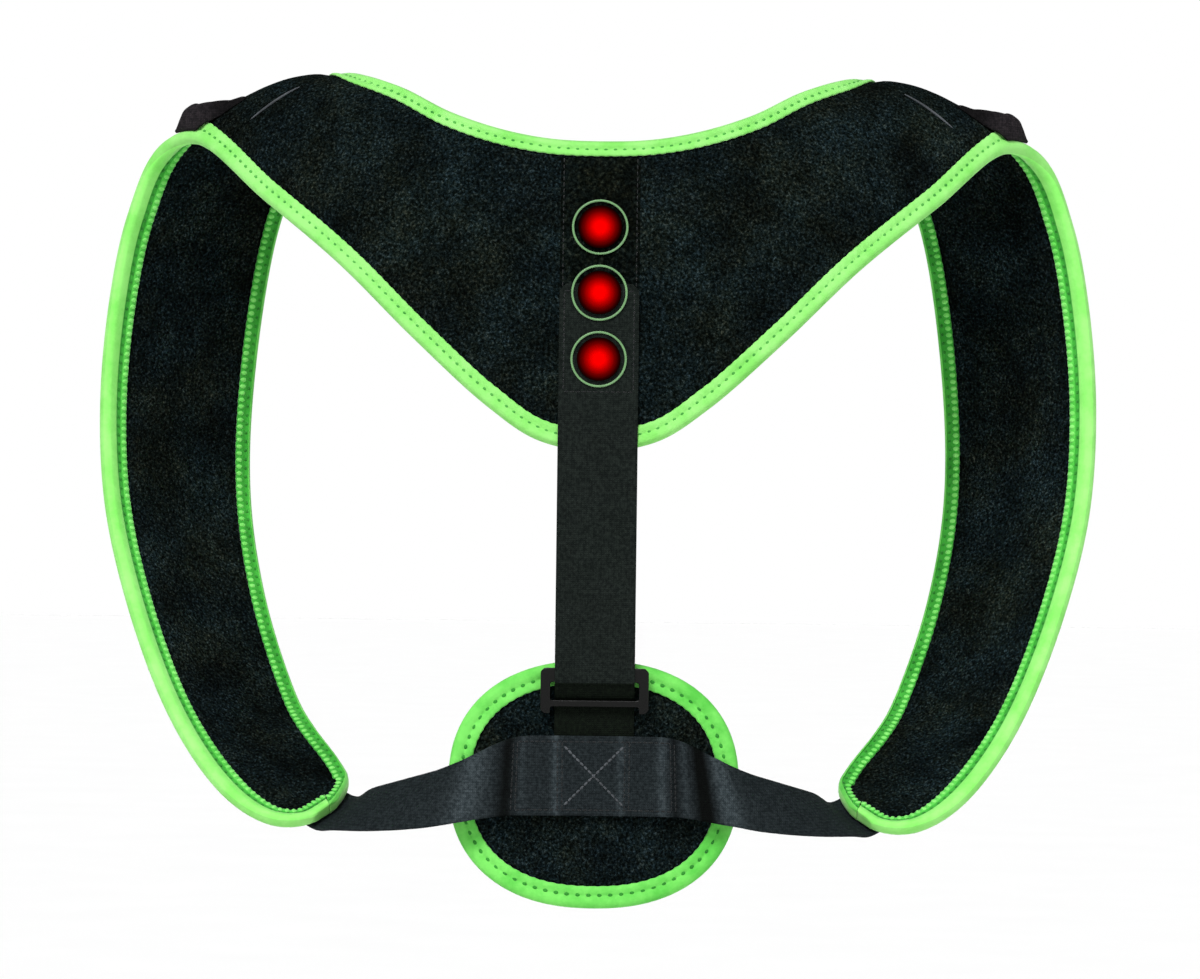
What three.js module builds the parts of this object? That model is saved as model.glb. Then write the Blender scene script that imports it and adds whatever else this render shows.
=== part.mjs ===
// Posture corrector, held in the form it has when worn. Millimetres.
// X is the wearer's right, Y is forwards (the yoke lies at -Y), Z is up. The origin is midway between
// the two shoulder seats, at the height where the straps rest on the shoulders.
import * as THREE from "three";

// Overall size
const HALF_SPAN = 247; // midline to the widest place of the arm edge
const LOOP_DEPTH = 168; // back of the yoke to the front of the shoulder straps
const DROP = 353; // shoulder seat down to the lowest place of the strap ends
const CROWN = 10; // how far a section of the ribbon bows outwards, at most
const CROWN_SKEW = 0.5; // how much more it bows towards its neck edge than towards its arm edge

// Cloth, tape and webbing
const CLOTH = 3; // neoprene of the yoke and straps
const PAD_CLOTH = 5; // neoprene of the lumbar pad
const TAPE = 1.2; // binding tape
const WEB = 1.6; // webbing
const WEB_WIDTH = 38;
const GAP = 0.3; // clearance between pieces that lie on each other
const TAPE_GAP = 0.45; // the same between the binding and the cloth inside it

// Binding: how far the folded tape reaches in from the edge, on each face
const NECK_LIP = { outer: 8, inner: 8.5 };
const ARM_LIP = { outer: 10, inner: 13.5 };
const PAD_LIP = { outer: 11, inner: 11 };
const FOLD_RADIUS = 1.4; // rounding of the fold itself

// Strap ends and shoulder seam
const CORNER_MARGIN = 0.5; // radius that a rounded corner still has at the binding's inner edge
const END_RADIUS = Math.max(ARM_LIP.inner, NECK_LIP.inner) + CORNER_MARGIN; // of both corners of an end
const SEAM_ROW = 5 + 2 / 3; // shoulder seam, counted in rows of the section table
const SPLICE_GAP = 0.4; // between the ends of the two tapes, where they meet on a strap end

// Centre strip and spine strap
const STRIP = 1.2; // thickness of the pile strip
const STRIP_MARGIN = 1.2; // clearance from both bindings, along the yoke
const SPINE_LAP = 79.5; // how far the spine strap's upper end lies above the yoke's lower edge
const SPINE_TUCK = 26; // how far the spine strap runs down under the lumbar band

// Lumbar pad
const PAD_HALF_WIDTH = 68.9;
const PAD_HALF_HEIGHT = 58.9;
const PAD_HANG = 99.6; // from the yoke's lower edge down to the pad's upper edge
const PAD_FORWARD = 5; // how much further forwards its middle lies than the yoke's lower edge
const PAD_WRAP = 8; // how far its sides curve forwards round the body
const PAD_DISH = 2; // how far its top and bottom curve forwards
const PAD_SQUARENESS = 2.3; // exponent of its superelliptic outline
const PAD_RINGS = [1, 0.75, 0.4]; // rings of its faces, as shares of the outline

// Slider
const SLIDER_DROP = 3.3; // from the pad's upper edge down to the slider's
const SLIDER_PLAY = 2; // between the spine strap and a side bar
const SLIDER_THICK = 3.2;
const SLIDER_SIDE = 4.7; // width of a side bar
const SLIDER_BAR_TOP = 6.8; // height of the upper bar
const SLIDER_WINDOW = 8.4; // height of the window between the bars
const SLIDER_BAR_LOW = 3.2; // height of the lower bar
const SLIDER_FOOT = 3.4; // how far the side bars reach below the lower bar
const SLIDER_CHAMFER = 1.8;

// Lumbar band
const BAND_RISE = 4.4; // its middle over the pad's centre
const BAND_SLACK = 0.3; // added clearance over the spine strap's end and behind the strap ends
const BAND_SEAT = 0.66; // where its middle is sewn on, from a strap's arm edge to its neck edge

// Magnet buttons, each in a ring
const BUTTON_COUNT = 3;
const BUTTON_TOP = 26.6; // the first one's centre over the spine strap's upper end
const BUTTON_PITCH = 31.4;
const BUTTON_RADIUS = 10.4;
const BUTTON_THICK = 1.5;
const RING_CLEARANCE = 1.9; // from the button's edge to the ring
const RING_WIDTH = 1.1;
const RING_THICK = 0.8;

// Shoulder tabs
const TAB_LIFT = 11.5; // how far the outer end stands off the shoulder
const TAB_HEM = 7; // width of the doubled hem
const TAB_HEM_THICK = 2.4;

// The ribbon is the whole band of yoke and straps. Row 0 is the midline of the yoke, row 6 the top of the
// shoulder and the last row the strap's end. Each row gives both edges of a section: Out is a share of
// HALF_SPAN, Deep of LOOP_DEPTH, Rise of DROP and bow of CROWN.
const COLUMNS = ["armOut", "armDeep", "armRise", "neckOut", "neckDeep", "neckRise", "bow"];
const SECTIONS = [
  [0, -0.476, -0.484, 0, -0.369, -0.065, 0.45],
  [0.115, -0.474, -0.47, 0.097, -0.363, -0.062, 0.45],
  [0.212, -0.458, -0.426, 0.188, -0.339, -0.05, 0.45],
  [0.357, -0.405, -0.335, 0.292, -0.274, -0.025, 0.45],
  [0.505, -0.321, -0.234, 0.386, -0.179, 0.009, 0.55],
  [0.66, -0.185, -0.144, 0.458, -0.083, 0.025, 0.8],
  [0.813, 0.012, -0.059, 0.5, 0.024, 0.027, 1],
  [0.9, 0.131, -0.082, 0.534, 0.167, 0.005, 0.8],
  [0.951, 0.185, -0.163, 0.595, 0.333, -0.065, 0.55],
  [0.981, 0.208, -0.261, 0.659, 0.452, -0.167, 0.35],
  [0.999, 0.208, -0.409, 0.709, 0.524, -0.385, 0.35],
  [0.985, 0.155, -0.557, 0.713, 0.5, -0.55, 0.35],
  [0.931, 0.036, -0.697, 0.673, 0.369, -0.699, 0.35],
  [0.849, -0.107, -0.833, 0.603, 0.202, -0.829, 0.35],
  [0.772, -0.226, -0.916, 0.559, 0.071, -0.874, 0.25],
  [0.71, -0.298, -0.96, 0.506, -0.036, -0.916, 0.2],
  [0.653, -0.333, -0.984, 0.481, -0.107, -0.939, 0.15],
  [0.568, -0.357, -1, 0.47, -0.179, -0.952, 0.1],
].map((row) => Object.fromEntries(COLUMNS.map((name, i) => [name, row[i]])));

// The lumbar band from the pad to the strap end, a row for each bend: shares of the way out, forwards and
// down to where it is sewn on, and of its turn from upright to how it lies there
const BAND_COLUMNS = ["out", "forwards", "down", "turn"];
const BAND_ROWS = [
  [0, 0, 0, 0],
  [0.16, 0, 0, 0],
  [0.31, 0.01, 0.03, 0.05],
  [0.4, 0.03, 0.15, 0.18],
  [0.48, 0.02, 0.3, 0.32],
  [0.55, 0.02, 0.42, 0.43],
  [0.65, 0.11, 0.57, 0.56],
  [0.8, 0.36, 0.74, 0.7],
  [0.93, 0.72, 0.88, 0.85],
].map((row) => Object.fromEntries(BAND_COLUMNS.map((name, i) => [name, row[i]])));

// Each shoulder tab lies across the shoulder, just in front of its top, and its back edge stands up from it
// like a low hood towards the hemmed outer end. Its width goes over these rows of the ribbon. A share of the
// ribbon's width and one of TAB_LIFT go with each place along it, from its root to the turned down end.
const TAB_ROWS = [6, 6.12, 6.24, 6.36, 6.48];
const TAB_PLACES = [
  [0.4, 0],
  [0.34, 0.1],
  [0.29, 0.3],
  [0.24, 0.55],
  [0.19, 0.8],
  [0.15, 0.96],
  [0.12, 1.02],
  [0.095, 1],
  [0.08, 0.75],
  [0.07, 0.1],
];

// Fineness of the faceted shapes
const STEPS_PER_ROW = 3;
const FAN_ROW = 14; // from here on the rows fan out towards the rounded end
const FAN_STEPS = 5;
const CORNER_STEPS = 4;
const ACROSS_YOKE = 8;
const ACROSS_STRAP = 6;
const PAD_SPOKES = 48;
const STRIP_STEPS = 8;
const SPINE_STEPS = { overYoke: 9, hanging: 4, onPad: 4 };
const BAND_STEPS_PER_ROW = 3;
const ROUND_SIDES = 24;
const SEARCH_STEPS = 24; // halvings or corrections in a search for a place
const TINY_ROW = 0.01;

const LAST = SECTIONS.length - 1;
const HALF_CLOTH = CLOTH / 2;
const ON_CLOTH = HALF_CLOTH + GAP; // from the cloth's middle to the underside of what lies on it
const ON_TAPE = HALF_CLOTH + TAPE_GAP + TAPE + GAP; // the same, over the binding
const { clamp, lerp } = THREE.MathUtils;

function edgeCurve(edge) {
  const right = SECTIONS.map(
    (row) =>
      new THREE.Vector3(
        row[`${edge}Out`] * HALF_SPAN,
        row[`${edge}Deep`] * LOOP_DEPTH,
        row[`${edge}Rise`] * DROP,
      ),
  );
  const left = right.slice(1).reverse().map((p) => new THREE.Vector3(-p.x, p.y, p.z));
  return new THREE.CatmullRomCurve3([...left, ...right]);
}

const edges = { arm: edgeCurve("arm"), neck: edgeCurve("neck") };

function onEdge(edge, s) {
  return edges[edge].getPoint(clamp((s + LAST) / (2 * LAST), 0, 1));
}

function between(a, b, share) {
  return new THREE.Vector3().lerpVectors(a, b, share);
}

// A slope along a curve or surface, from two places a small step either side
const STEP = 0.02;
function slope(f, x) {
  const low = Math.max(x - STEP, -LAST);
  const high = Math.min(x + STEP, LAST);
  return f(high).sub(f(low)).divideScalar(high - low);
}

function sectionNormal(s) {
  const along = slope((x) => between(onEdge("arm", x), onEdge("neck", x), 0.5), s);
  const chord = onEdge("neck", s).sub(onEdge("arm", s));
  return along.cross(chord).normalize();
}

function bowAt(s) {
  const row = Math.min(Math.floor(Math.abs(s)), LAST - 1);
  return lerp(SECTIONS[row].bow, SECTIONS[row + 1].bow, Math.abs(s) - row) * CROWN;
}

// The ribbon's middle surface: s counts rows from the midline, t goes from the arm edge to the neck edge
function ribbon(s, t) {
  const flat = between(onEdge("arm", s), onEdge("neck", s), t);
  const arch = 4 * t * (1 - t) * (1 + CROWN_SKEW * (2 * t - 1));
  return flat.addScaledVector(sectionNormal(s), arch * bowAt(s));
}

function ribbonNormal(s, t) {
  const along = slope((x) => ribbon(x, t), s);
  const across = slope((x) => ribbon(s, x), t);
  return along.cross(across).normalize();
}

function offRibbon(s, t, height) {
  return ribbon(s, t).addScaledVector(ribbonNormal(s, t), height);
}

// Distance from a strap's end line, for a place (s, t) near that end
function fromEnd(end, s, t) {
  const line = new THREE.Line3(onEdge("arm", end * LAST), onEdge("neck", end * LAST));
  const point = ribbon(s, t);
  return line.closestPointToPoint(point, false, new THREE.Vector3()).distanceTo(point);
}

function rowAtEndDistance(end, t, distance) {
  let near = LAST;
  let far = FAN_ROW - 1;
  for (let i = 0; i < SEARCH_STEPS; i += 1) {
    const middle = (near + far) / 2;
    if (fromEnd(end, end * middle, t) < distance) near = middle;
    else far = middle;
  }
  return (end * (near + far)) / 2;
}

// Share of the ribbon's width that lies within a distance of one edge, along the line that joins the arm
// edge at row armRow with the neck edge at row neckRow
function edgeShare(armRow, neckRow, edge, distance) {
  const chord = onEdge("neck", neckRow).sub(onEdge("arm", armRow));
  const tangent = slope((x) => onEdge(edge, x), edge === "arm" ? armRow : neckRow);
  return distance / (chord.length() * Math.sin(chord.angleTo(tangent)));
}

// Stations round the ribbon's outline. Each turns an inset from the edge into a place (s, t).
function sideStation(edge, armRow, neckRow) {
  return (inset) => {
    const share = edgeShare(armRow, neckRow, edge, inset);
    const t = edge === "arm" ? share : 1 - share;
    return { s: lerp(armRow, neckRow, t), t };
  };
}

function nearCorner(edge, end, fromSide, fromEndLine) {
  let s = end * LAST;
  let t = 0;
  for (let i = 0; i < 4; i += 1) {
    const share = edgeShare(s, s, edge, fromSide);
    t = edge === "arm" ? share : 1 - share;
    s = rowAtEndDistance(end, t, fromEndLine);
  }
  return { s, t };
}

function cornerStation(edge, end, angle) {
  return (inset) => {
    const radius = END_RADIUS - inset;
    const fromSide = END_RADIUS - radius * Math.cos(angle);
    const fromEndLine = END_RADIUS - radius * Math.sin(angle);
    return nearCorner(edge, end, fromSide, fromEndLine);
  };
}

function endStation(end, share) {
  return (inset) => {
    const a = nearCorner("arm", end, END_RADIUS, inset);
    const b = nearCorner("neck", end, END_RADIUS, inset);
    const t = lerp(a.t, b.t, share);
    return { s: rowAtEndDistance(end, t, inset), t };
  };
}

// Stations of the right half from the midline to the strap's end, in pairs that face each other
function halfStations(end) {
  const lastArm = nearCorner("arm", end, 0, END_RADIUS).s;
  const lastNeck = nearCorner("neck", end, 0, END_RADIUS).s;
  const pairs = [];
  for (let i = 0; i <= FAN_ROW * STEPS_PER_ROW; i += 1) {
    const s = (end * i) / STEPS_PER_ROW;
    pairs.push([s, s]);
  }
  for (let i = 1; i < FAN_STEPS; i += 1) {
    const share = i / FAN_STEPS;
    pairs.push([lerp(end * FAN_ROW, lastArm, share), lerp(end * FAN_ROW, lastNeck, share)]);
  }
  const stations = pairs.map(([arm, neck]) => ({
    row: arm,
    arm: sideStation("arm", arm, neck),
    neck: sideStation("neck", arm, neck),
  }));
  for (let i = 0; i <= CORNER_STEPS; i += 1) {
    const angle = (i / CORNER_STEPS) * (Math.PI / 2);
    stations.push({
      row: end * LAST,
      arm: cornerStation("arm", end, angle),
      neck: cornerStation("neck", end, angle),
    });
  }
  return stations;
}

const rightStations = halfStations(1);
const leftStations = halfStations(-1);

// A solid from a row of loops that all have the same number of points. Open ends are capped with the
// triangles that capOf gives for one loop.
function loopSolid(loops, capOf, closed = false) {
  const around = loops[0].length;
  const positions = loops.flat().flatMap((p) => [p.x, p.y, p.z]);
  const faces = [];
  const at = (i, j) => (i % loops.length) * around + (j % around);
  const spans = closed ? loops.length : loops.length - 1;
  for (let i = 0; i < spans; i += 1) {
    for (let j = 0; j < around; j += 1) {
      faces.push([at(i, j), at(i, j + 1), at(i + 1, j + 1)]);
      faces.push([at(i, j), at(i + 1, j + 1), at(i + 1, j)]);
    }
  }
  if (!closed) {
    const end = (loops.length - 1) * around;
    for (const [a, b, c] of capOf(loops[0])) {
      faces.push([a, c, b]);
      faces.push([end + a, end + b, end + c]);
    }
  }
  return facesOut(positions, faces);
}

// Faces may be listed inside out, which their signed volume shows, and are turned over then
function facesOut(positions, faces) {
  const corner = (i) => new THREE.Vector3().fromArray(positions, 3 * i);
  const volume = faces.reduce(
    (sum, [a, b, c]) => sum + corner(a).dot(corner(b).cross(corner(c))),
    0,
  );
  const turned = volume < 0 ? faces.map(([a, b, c]) => [a, c, b]) : faces;
  const geometry = new THREE.BufferGeometry();
  geometry.setAttribute("position", new THREE.Float32BufferAttribute(positions, 3));
  geometry.setIndex(turned.flat());
  geometry.computeVertexNormals();
  return geometry;
}

// A loop that goes out along one face of a slab and back along the other is capped in strips
function slabCap(loop) {
  const last = loop.length - 1;
  const faces = [];
  for (let j = 0; j < loop.length / 2 - 1; j += 1) {
    faces.push([j, j + 1, last - j - 1]);
    faces.push([j, last - j - 1, last - j]);
  }
  return faces;
}

// The folded tape's section: x is the distance in from the edge, y the height over the cloth's middle
function tapeSection(lip, halfCloth) {
  const low = halfCloth + TAPE_GAP;
  const high = low + TAPE;
  return [
    [lip.outer, high],
    [FOLD_RADIUS, high],
    [0, high - FOLD_RADIUS],
    [0, FOLD_RADIUS - high],
    [FOLD_RADIUS, -high],
    [lip.inner, -high],
    [lip.inner, -low],
    [TAPE, -low],
    [TAPE, low],
    [lip.outer, low],
  ].map(([x, y]) => new THREE.Vector2(x, y));
}

function tapeSolid(section, loops, closed = false) {
  const faces = THREE.ShapeUtils.triangulateShape(section, []);
  const turned = faces.map(([a, b, c]) => [a, c, b]);
  return loopSolid(loops, () => (THREE.ShapeUtils.isClockWise(section) ? turned : faces), closed);
}

// Both tapes list their sections so that their facets run the same way as the cloth's under them
function ribbonTape(stations, lip, edge) {
  const section = tapeSection(lip, HALF_CLOTH);
  if (edge === "neck") section.reverse();
  const loops = stations.map((station) =>
    section.map((corner) => {
      const { s, t } = station(corner.x);
      return offRibbon(s, t, corner.y);
    }),
  );
  return tapeSolid(section, loops);
}

// The arm tape runs on round both strap ends, up to the neck edge's corner, where the neck tape starts
function armholeBinding() {
  const side = (stations) => stations.map((station) => station.arm);
  const right = [...side(rightStations), endStation(1, 0.5), endStation(1, spliceShare())];
  const left = [...side(leftStations), endStation(-1, 0.5), endStation(-1, spliceShare())];
  return ribbonTape([...left.reverse(), ...right.slice(1)], ARM_LIP, "arm");
}

function spliceShare() {
  const a = nearCorner("arm", 1, END_RADIUS, 0);
  const b = nearCorner("neck", 1, END_RADIUS, 0);
  const straight = ribbon(a.s, a.t).distanceTo(ribbon(b.s, b.t));
  return 1 - SPLICE_GAP / straight;
}

function neckBinding() {
  const side = (stations) => stations.map((station) => station.neck);
  const left = side(leftStations).reverse();
  return ribbonTape([...left, ...side(rightStations).slice(1)], NECK_LIP, "neck");
}

// Strips across the cloth are narrower under the bindings, where they follow the tape
function acrossShare(j, across) {
  const even = j / across;
  return lerp(even, (1 - Math.cos(Math.PI * even)) / 2, 0.5);
}

// Cloth between the bindings, from a row of stations; across is how many strips make up its width
function clothPanel(stations, across) {
  const inset = TAPE + TAPE_GAP;
  const loops = stations.map((station) => {
    const from = station.arm(inset);
    const to = station.neck(inset);
    const places = Array.from({ length: across + 1 }, (_, j) => ({
      s: lerp(from.s, to.s, acrossShare(j, across)),
      t: lerp(from.t, to.t, acrossShare(j, across)),
    }));
    const outer = places.map(({ s, t }) => offRibbon(s, t, HALF_CLOTH));
    const inner = places.map(({ s, t }) => offRibbon(s, t, -HALF_CLOTH));
    return [...outer, ...inner.reverse()];
  });
  return loopSolid(loops, slabCap);
}

function seamStation(end, side) {
  const armWidth = slope((x) => onEdge("arm", x), SEAM_ROW).length();
  const s = end * (SEAM_ROW + (side * GAP) / armWidth);
  return { arm: sideStation("arm", s, s), neck: sideStation("neck", s, s) };
}

function backYoke() {
  const inside = (stations) => stations.filter(({ row }) => Math.abs(row) < SEAM_ROW - TINY_ROW);
  const left = [seamStation(-1, -1), ...inside(leftStations).reverse()];
  const right = [...inside(rightStations).slice(1), seamStation(1, -1)];
  return clothPanel([...left, ...right], ACROSS_YOKE);
}

function shoulderStrap(end) {
  const stations = end > 0 ? rightStations : leftStations;
  const beyond = stations.filter(({ row }) => Math.abs(row) > SEAM_ROW + TINY_ROW);
  const outwards = [seamStation(end, 1), ...beyond];
  return clothPanel(end > 0 ? outwards : outwards.reverse(), ACROSS_STRAP);
}

// The place (s, t) of the yoke that lies at x and z, found by steps along its two slopes
function onYoke(x, z) {
  let s = x / slope((v) => onEdge("arm", v), 0).x;
  let t = 0.5;
  for (let i = 0; i < SEARCH_STEPS; i += 1) {
    const here = ribbon(s, t);
    const along = slope((v) => ribbon(v, t), s);
    const across = slope((v) => ribbon(s, v), t);
    const scale = along.x * across.z - along.z * across.x;
    const missX = x - here.x;
    const missZ = z - here.z;
    s += (missX * across.z - missZ * across.x) / scale;
    t += (along.x * missZ - along.z * missX) / scale;
  }
  return { s, t };
}

function overYoke(x, z, height) {
  const { s, t } = onYoke(x, z);
  return offRibbon(s, t, height);
}

// Webbing and strips lie along a row of sections, each with its middle, its direction of width and the
// side that faces outwards
function stripSolid(sections, width, thickness) {
  const loops = sections.map(({ middle, across, out }) => {
    const corner = (side, face) =>
      middle
        .clone()
        .addScaledVector(across, (side * width) / 2)
        .addScaledVector(out, (face * thickness) / 2);
    return [corner(-1, 1), corner(1, 1), corner(1, -1), corner(-1, -1)];
  });
  return loopSolid(loops, slabCap);
}

const RIGHTWARDS = new THREE.Vector3(1, 0, 0);
const UPWARDS = new THREE.Vector3(0, 0, 1);

// Heights where the yoke's binding ends and begins, beside the middle
function stripLimits() {
  const top = onEdge("neck", 0).z - NECK_LIP.outer - STRIP_MARGIN;
  const side = onYoke(WEB_WIDTH / 2, lerp(top, onEdge("arm", 0).z, 0.5)).s;
  const along = slope((s) => onEdge("arm", s), side);
  const armLip = ARM_LIP.outer / Math.cos(Math.atan2(along.z, along.x));
  const bottom = onEdge("arm", side).z + armLip + STRIP_MARGIN;
  return { top, bottom };
}

function centreStrip() {
  const { top, bottom } = stripLimits();
  const loops = Array.from({ length: STRIP_STEPS + 1 }, (_, i) => {
    const z = lerp(top, bottom, i / STRIP_STEPS);
    const places = [-0.5, 0, 0.5].map((share) => share * WEB_WIDTH);
    const outer = places.map((x) => overYoke(x, z, ON_CLOTH + STRIP));
    const inner = places.map((x) => overYoke(x, z, ON_CLOTH));
    return [...outer, ...inner.reverse()];
  });
  return loopSolid(loops, slabCap);
}

// What hangs from the yoke is placed from its lower edge
const YOKE_FOOT = onEdge("arm", 0);
const SPINE_TOP = YOKE_FOOT.z + SPINE_LAP;
const UNDER_SPINE = Math.max(ON_CLOTH + STRIP + GAP, ON_TAPE);
const PAD_TOP = YOKE_FOOT.z - PAD_HANG;
const PAD_HEIGHT = PAD_TOP - PAD_HALF_HEIGHT;
const PAD_BACK = YOKE_FOOT.y + PAD_FORWARD;
const PAD_FACE = PAD_BACK - PAD_CLOTH / 2;
const BAND_HEIGHT = PAD_HEIGHT + BAND_RISE;

// The lumbar pad's middle surface and outline
function padPlace(x, rise) {
  const wrap = PAD_WRAP * (x / PAD_HALF_WIDTH) ** 2;
  const dish = PAD_DISH * (rise / PAD_HALF_HEIGHT) ** 2;
  return new THREE.Vector3(x, PAD_BACK + wrap + dish, PAD_HEIGHT + rise);
}

function offPad(x, rise, height) {
  const normal = new THREE.Vector3(
    (2 * PAD_WRAP * x) / PAD_HALF_WIDTH ** 2,
    -1,
    (2 * PAD_DISH * rise) / PAD_HALF_HEIGHT ** 2,
  );
  return padPlace(x, rise).addScaledVector(normal.normalize(), height);
}

function padOutline(angle, inset) {
  const power = (value) => Math.sign(value) * Math.abs(value) ** (2 / PAD_SQUARENESS);
  const x = PAD_HALF_WIDTH * power(Math.cos(angle));
  const rise = PAD_HALF_HEIGHT * power(Math.sin(angle));
  const inwards = (value, half) =>
    (Math.sign(value) * Math.abs(value / half) ** (PAD_SQUARENESS - 1)) / half;
  const normal = new THREE.Vector2(inwards(x, PAD_HALF_WIDTH), inwards(rise, PAD_HALF_HEIGHT));
  normal.normalize();
  return { x: x - inset * normal.x, rise: rise - inset * normal.y };
}

function padAngles() {
  return Array.from({ length: PAD_SPOKES }, (_, i) => ((i + 0.5) / PAD_SPOKES) * 2 * Math.PI);
}

function lumbarBinding() {
  const section = tapeSection(PAD_LIP, PAD_CLOTH / 2);
  const loops = padAngles().map((angle) =>
    section.map((corner) => {
      const { x, rise } = padOutline(angle, corner.x);
      return offPad(x, rise, corner.y);
    }),
  );
  return tapeSolid(section, loops, true);
}

// A cushion-like solid: rings round a middle point, on both faces
function lumbarPad() {
  const angles = padAngles();
  const points = [];
  for (const face of [1, -1]) {
    for (const share of PAD_RINGS) {
      for (const angle of angles) {
        const { x, rise } = padOutline(angle, TAPE + TAPE_GAP);
        points.push(offPad(x * share, rise * share, (face * PAD_CLOTH) / 2));
      }
    }
  }
  const half = PAD_RINGS.length * angles.length;
  points.push(offPad(0, 0, PAD_CLOTH / 2), offPad(0, 0, -PAD_CLOTH / 2));
  const faces = [];
  const ring = (r, k) => r * angles.length + (k % angles.length);
  for (let k = 0; k < angles.length; k += 1) {
    faces.push([ring(0, k), ring(0, k + 1), half + ring(0, k + 1)]);
    faces.push([ring(0, k), half + ring(0, k + 1), half + ring(0, k)]);
    for (let r = 0; r < PAD_RINGS.length - 1; r += 1) {
      faces.push([ring(r, k), ring(r + 1, k), ring(r + 1, k + 1)]);
      faces.push([ring(r, k), ring(r + 1, k + 1), ring(r, k + 1)]);
      faces.push([half + ring(r, k), half + ring(r + 1, k + 1), half + ring(r + 1, k)]);
      faces.push([half + ring(r, k), half + ring(r, k + 1), half + ring(r + 1, k + 1)]);
    }
    const inner = PAD_RINGS.length - 1;
    faces.push([ring(inner, k), 2 * half, ring(inner, k + 1)]);
    faces.push([half + ring(inner, k), half + ring(inner, k + 1), 2 * half + 1]);
  }
  return facesOut(points.flatMap((p) => [p.x, p.y, p.z]), faces);
}

// The slider stands over the pad by what runs behind its lower bar
const SLIDER_TOP = PAD_TOP - SLIDER_DROP;
const SLIDER_BACK = PAD_FACE - WEB - 2 * GAP;
const SLIDER_FRONT = SLIDER_BACK - SLIDER_THICK;

function sliderBuckle() {
  const inner = WEB_WIDTH / 2 + SLIDER_PLAY;
  const outer = inner + SLIDER_SIDE;
  const barLow = -SLIDER_BAR_TOP - SLIDER_WINDOW - SLIDER_BAR_LOW;
  const foot = barLow - SLIDER_FOOT;
  const outline = new THREE.Shape([
    [-outer + SLIDER_CHAMFER, 0],
    [-outer, -SLIDER_CHAMFER],
    [-outer, foot + SLIDER_CHAMFER],
    [-outer + SLIDER_CHAMFER, foot],
    [-inner, foot],
    [-inner, barLow],
    [inner, barLow],
    [inner, foot],
    [outer - SLIDER_CHAMFER, foot],
    [outer, foot + SLIDER_CHAMFER],
    [outer, -SLIDER_CHAMFER],
    [outer - SLIDER_CHAMFER, 0],
  ].map(([x, z]) => new THREE.Vector2(x, z)));
  const window = [
    [-inner, -SLIDER_BAR_TOP],
    [inner, -SLIDER_BAR_TOP],
    [inner, barLow + SLIDER_BAR_LOW],
    [-inner, barLow + SLIDER_BAR_LOW],
  ].map(([x, z]) => new THREE.Vector2(x, z));
  outline.holes.push(new THREE.Path(window));
  const plate = new THREE.ExtrudeGeometry(outline, { depth: SLIDER_THICK, bevelEnabled: false });
  plate.rotateX(Math.PI / 2);
  plate.translate(0, SLIDER_BACK, SLIDER_TOP);
  return plate;
}

// The spine strap goes down over the yoke, over the slider's upper bar, through its window and on behind
// the lower bar to under the lumbar band
function spineStrap() {
  const half = WEB / 2;
  const overBar = SLIDER_FRONT - GAP - half;
  const behindBar = SLIDER_BACK + GAP + half;
  const windowTop = SLIDER_TOP - SLIDER_BAR_TOP;
  const windowLow = windowTop - SLIDER_WINDOW;
  const bend = SLIDER_WINDOW / 6;
  const onPad = (z) => offPad(0, z - PAD_HEIGHT, PAD_CLOTH / 2 + GAP + half).y;
  const path = [];
  for (let i = 0; i <= SPINE_STEPS.overYoke; i += 1) {
    const z = lerp(SPINE_TOP, YOKE_FOOT.z, i / SPINE_STEPS.overYoke);
    path.push([furthestOut(z, UNDER_SPINE + half), z]);
  }
  const yokeEnd = path[path.length - 1][0];
  for (let i = 1; i <= SPINE_STEPS.hanging; i += 1) {
    const share = i / SPINE_STEPS.hanging;
    path.push([lerp(yokeEnd, overBar, share), lerp(YOKE_FOOT.z, SLIDER_TOP, share)]);
  }
  path.push([overBar, windowTop]);
  path.push([lerp(overBar, behindBar, 0.25), windowTop - bend]);
  path.push([lerp(overBar, behindBar, 0.75), windowLow + bend]);
  path.push([behindBar, windowLow]);
  const tuckEnd = BAND_HEIGHT + WEB_WIDTH / 2 - SPINE_TUCK;
  for (let i = 0; i <= SPINE_STEPS.onPad; i += 1) {
    const z = lerp(windowLow - SLIDER_BAR_LOW, tuckEnd, i / SPINE_STEPS.onPad);
    path.push([onPad(z), z]);
  }
  const points = path.map(([y, z]) => new THREE.Vector3(0, y, z));
  return stripSolid(alongPath(points), WEB_WIDTH, WEB);
}

// A level strap over the yoke touches it where it stands furthest out across the strap's width
function furthestOut(z, height) {
  const places = [-0.5, -0.25, 0, 0.25, 0.5].map((share) => overYoke(share * WEB_WIDTH, z, height));
  return Math.min(...places.map((place) => place.y));
}

// Sections of a strap whose width stays level, with its face square to the path
function alongPath(points) {
  return points.map((middle, i) => {
    const before = points[Math.max(i - 1, 0)];
    const after = points[Math.min(i + 1, points.length - 1)];
    const along = after.clone().sub(before).normalize();
    const out = along.clone().cross(RIGHTWARDS).normalize();
    return { middle, across: RIGHTWARDS, out };
  });
}

// The lumbar band's right half as sections from the midline to behind the strap's end
function bandSections() {
  const start = new THREE.Vector3(0, PAD_FACE - 1.5 * WEB - 2 * GAP - BAND_SLACK, BAND_HEIGHT);
  const sewn = [LAST, LAST - 1, LAST - 2].map((s) => ({
    middle: offRibbon(s, BAND_SEAT, ON_TAPE + BAND_SLACK + WEB / 2),
    across: onEdge("neck", s).sub(onEdge("arm", s)).normalize(),
  }));
  const way = sewn[0].middle.clone().sub(start);
  const free = BAND_ROWS.map(({ out, forwards, down, turn }) => ({
    middle: new THREE.Vector3(out, forwards, down).multiply(way).add(start),
    across: between(UPWARDS, sewn[0].across, turn).normalize(),
  }));
  return [...free, ...sewn];
}

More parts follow.
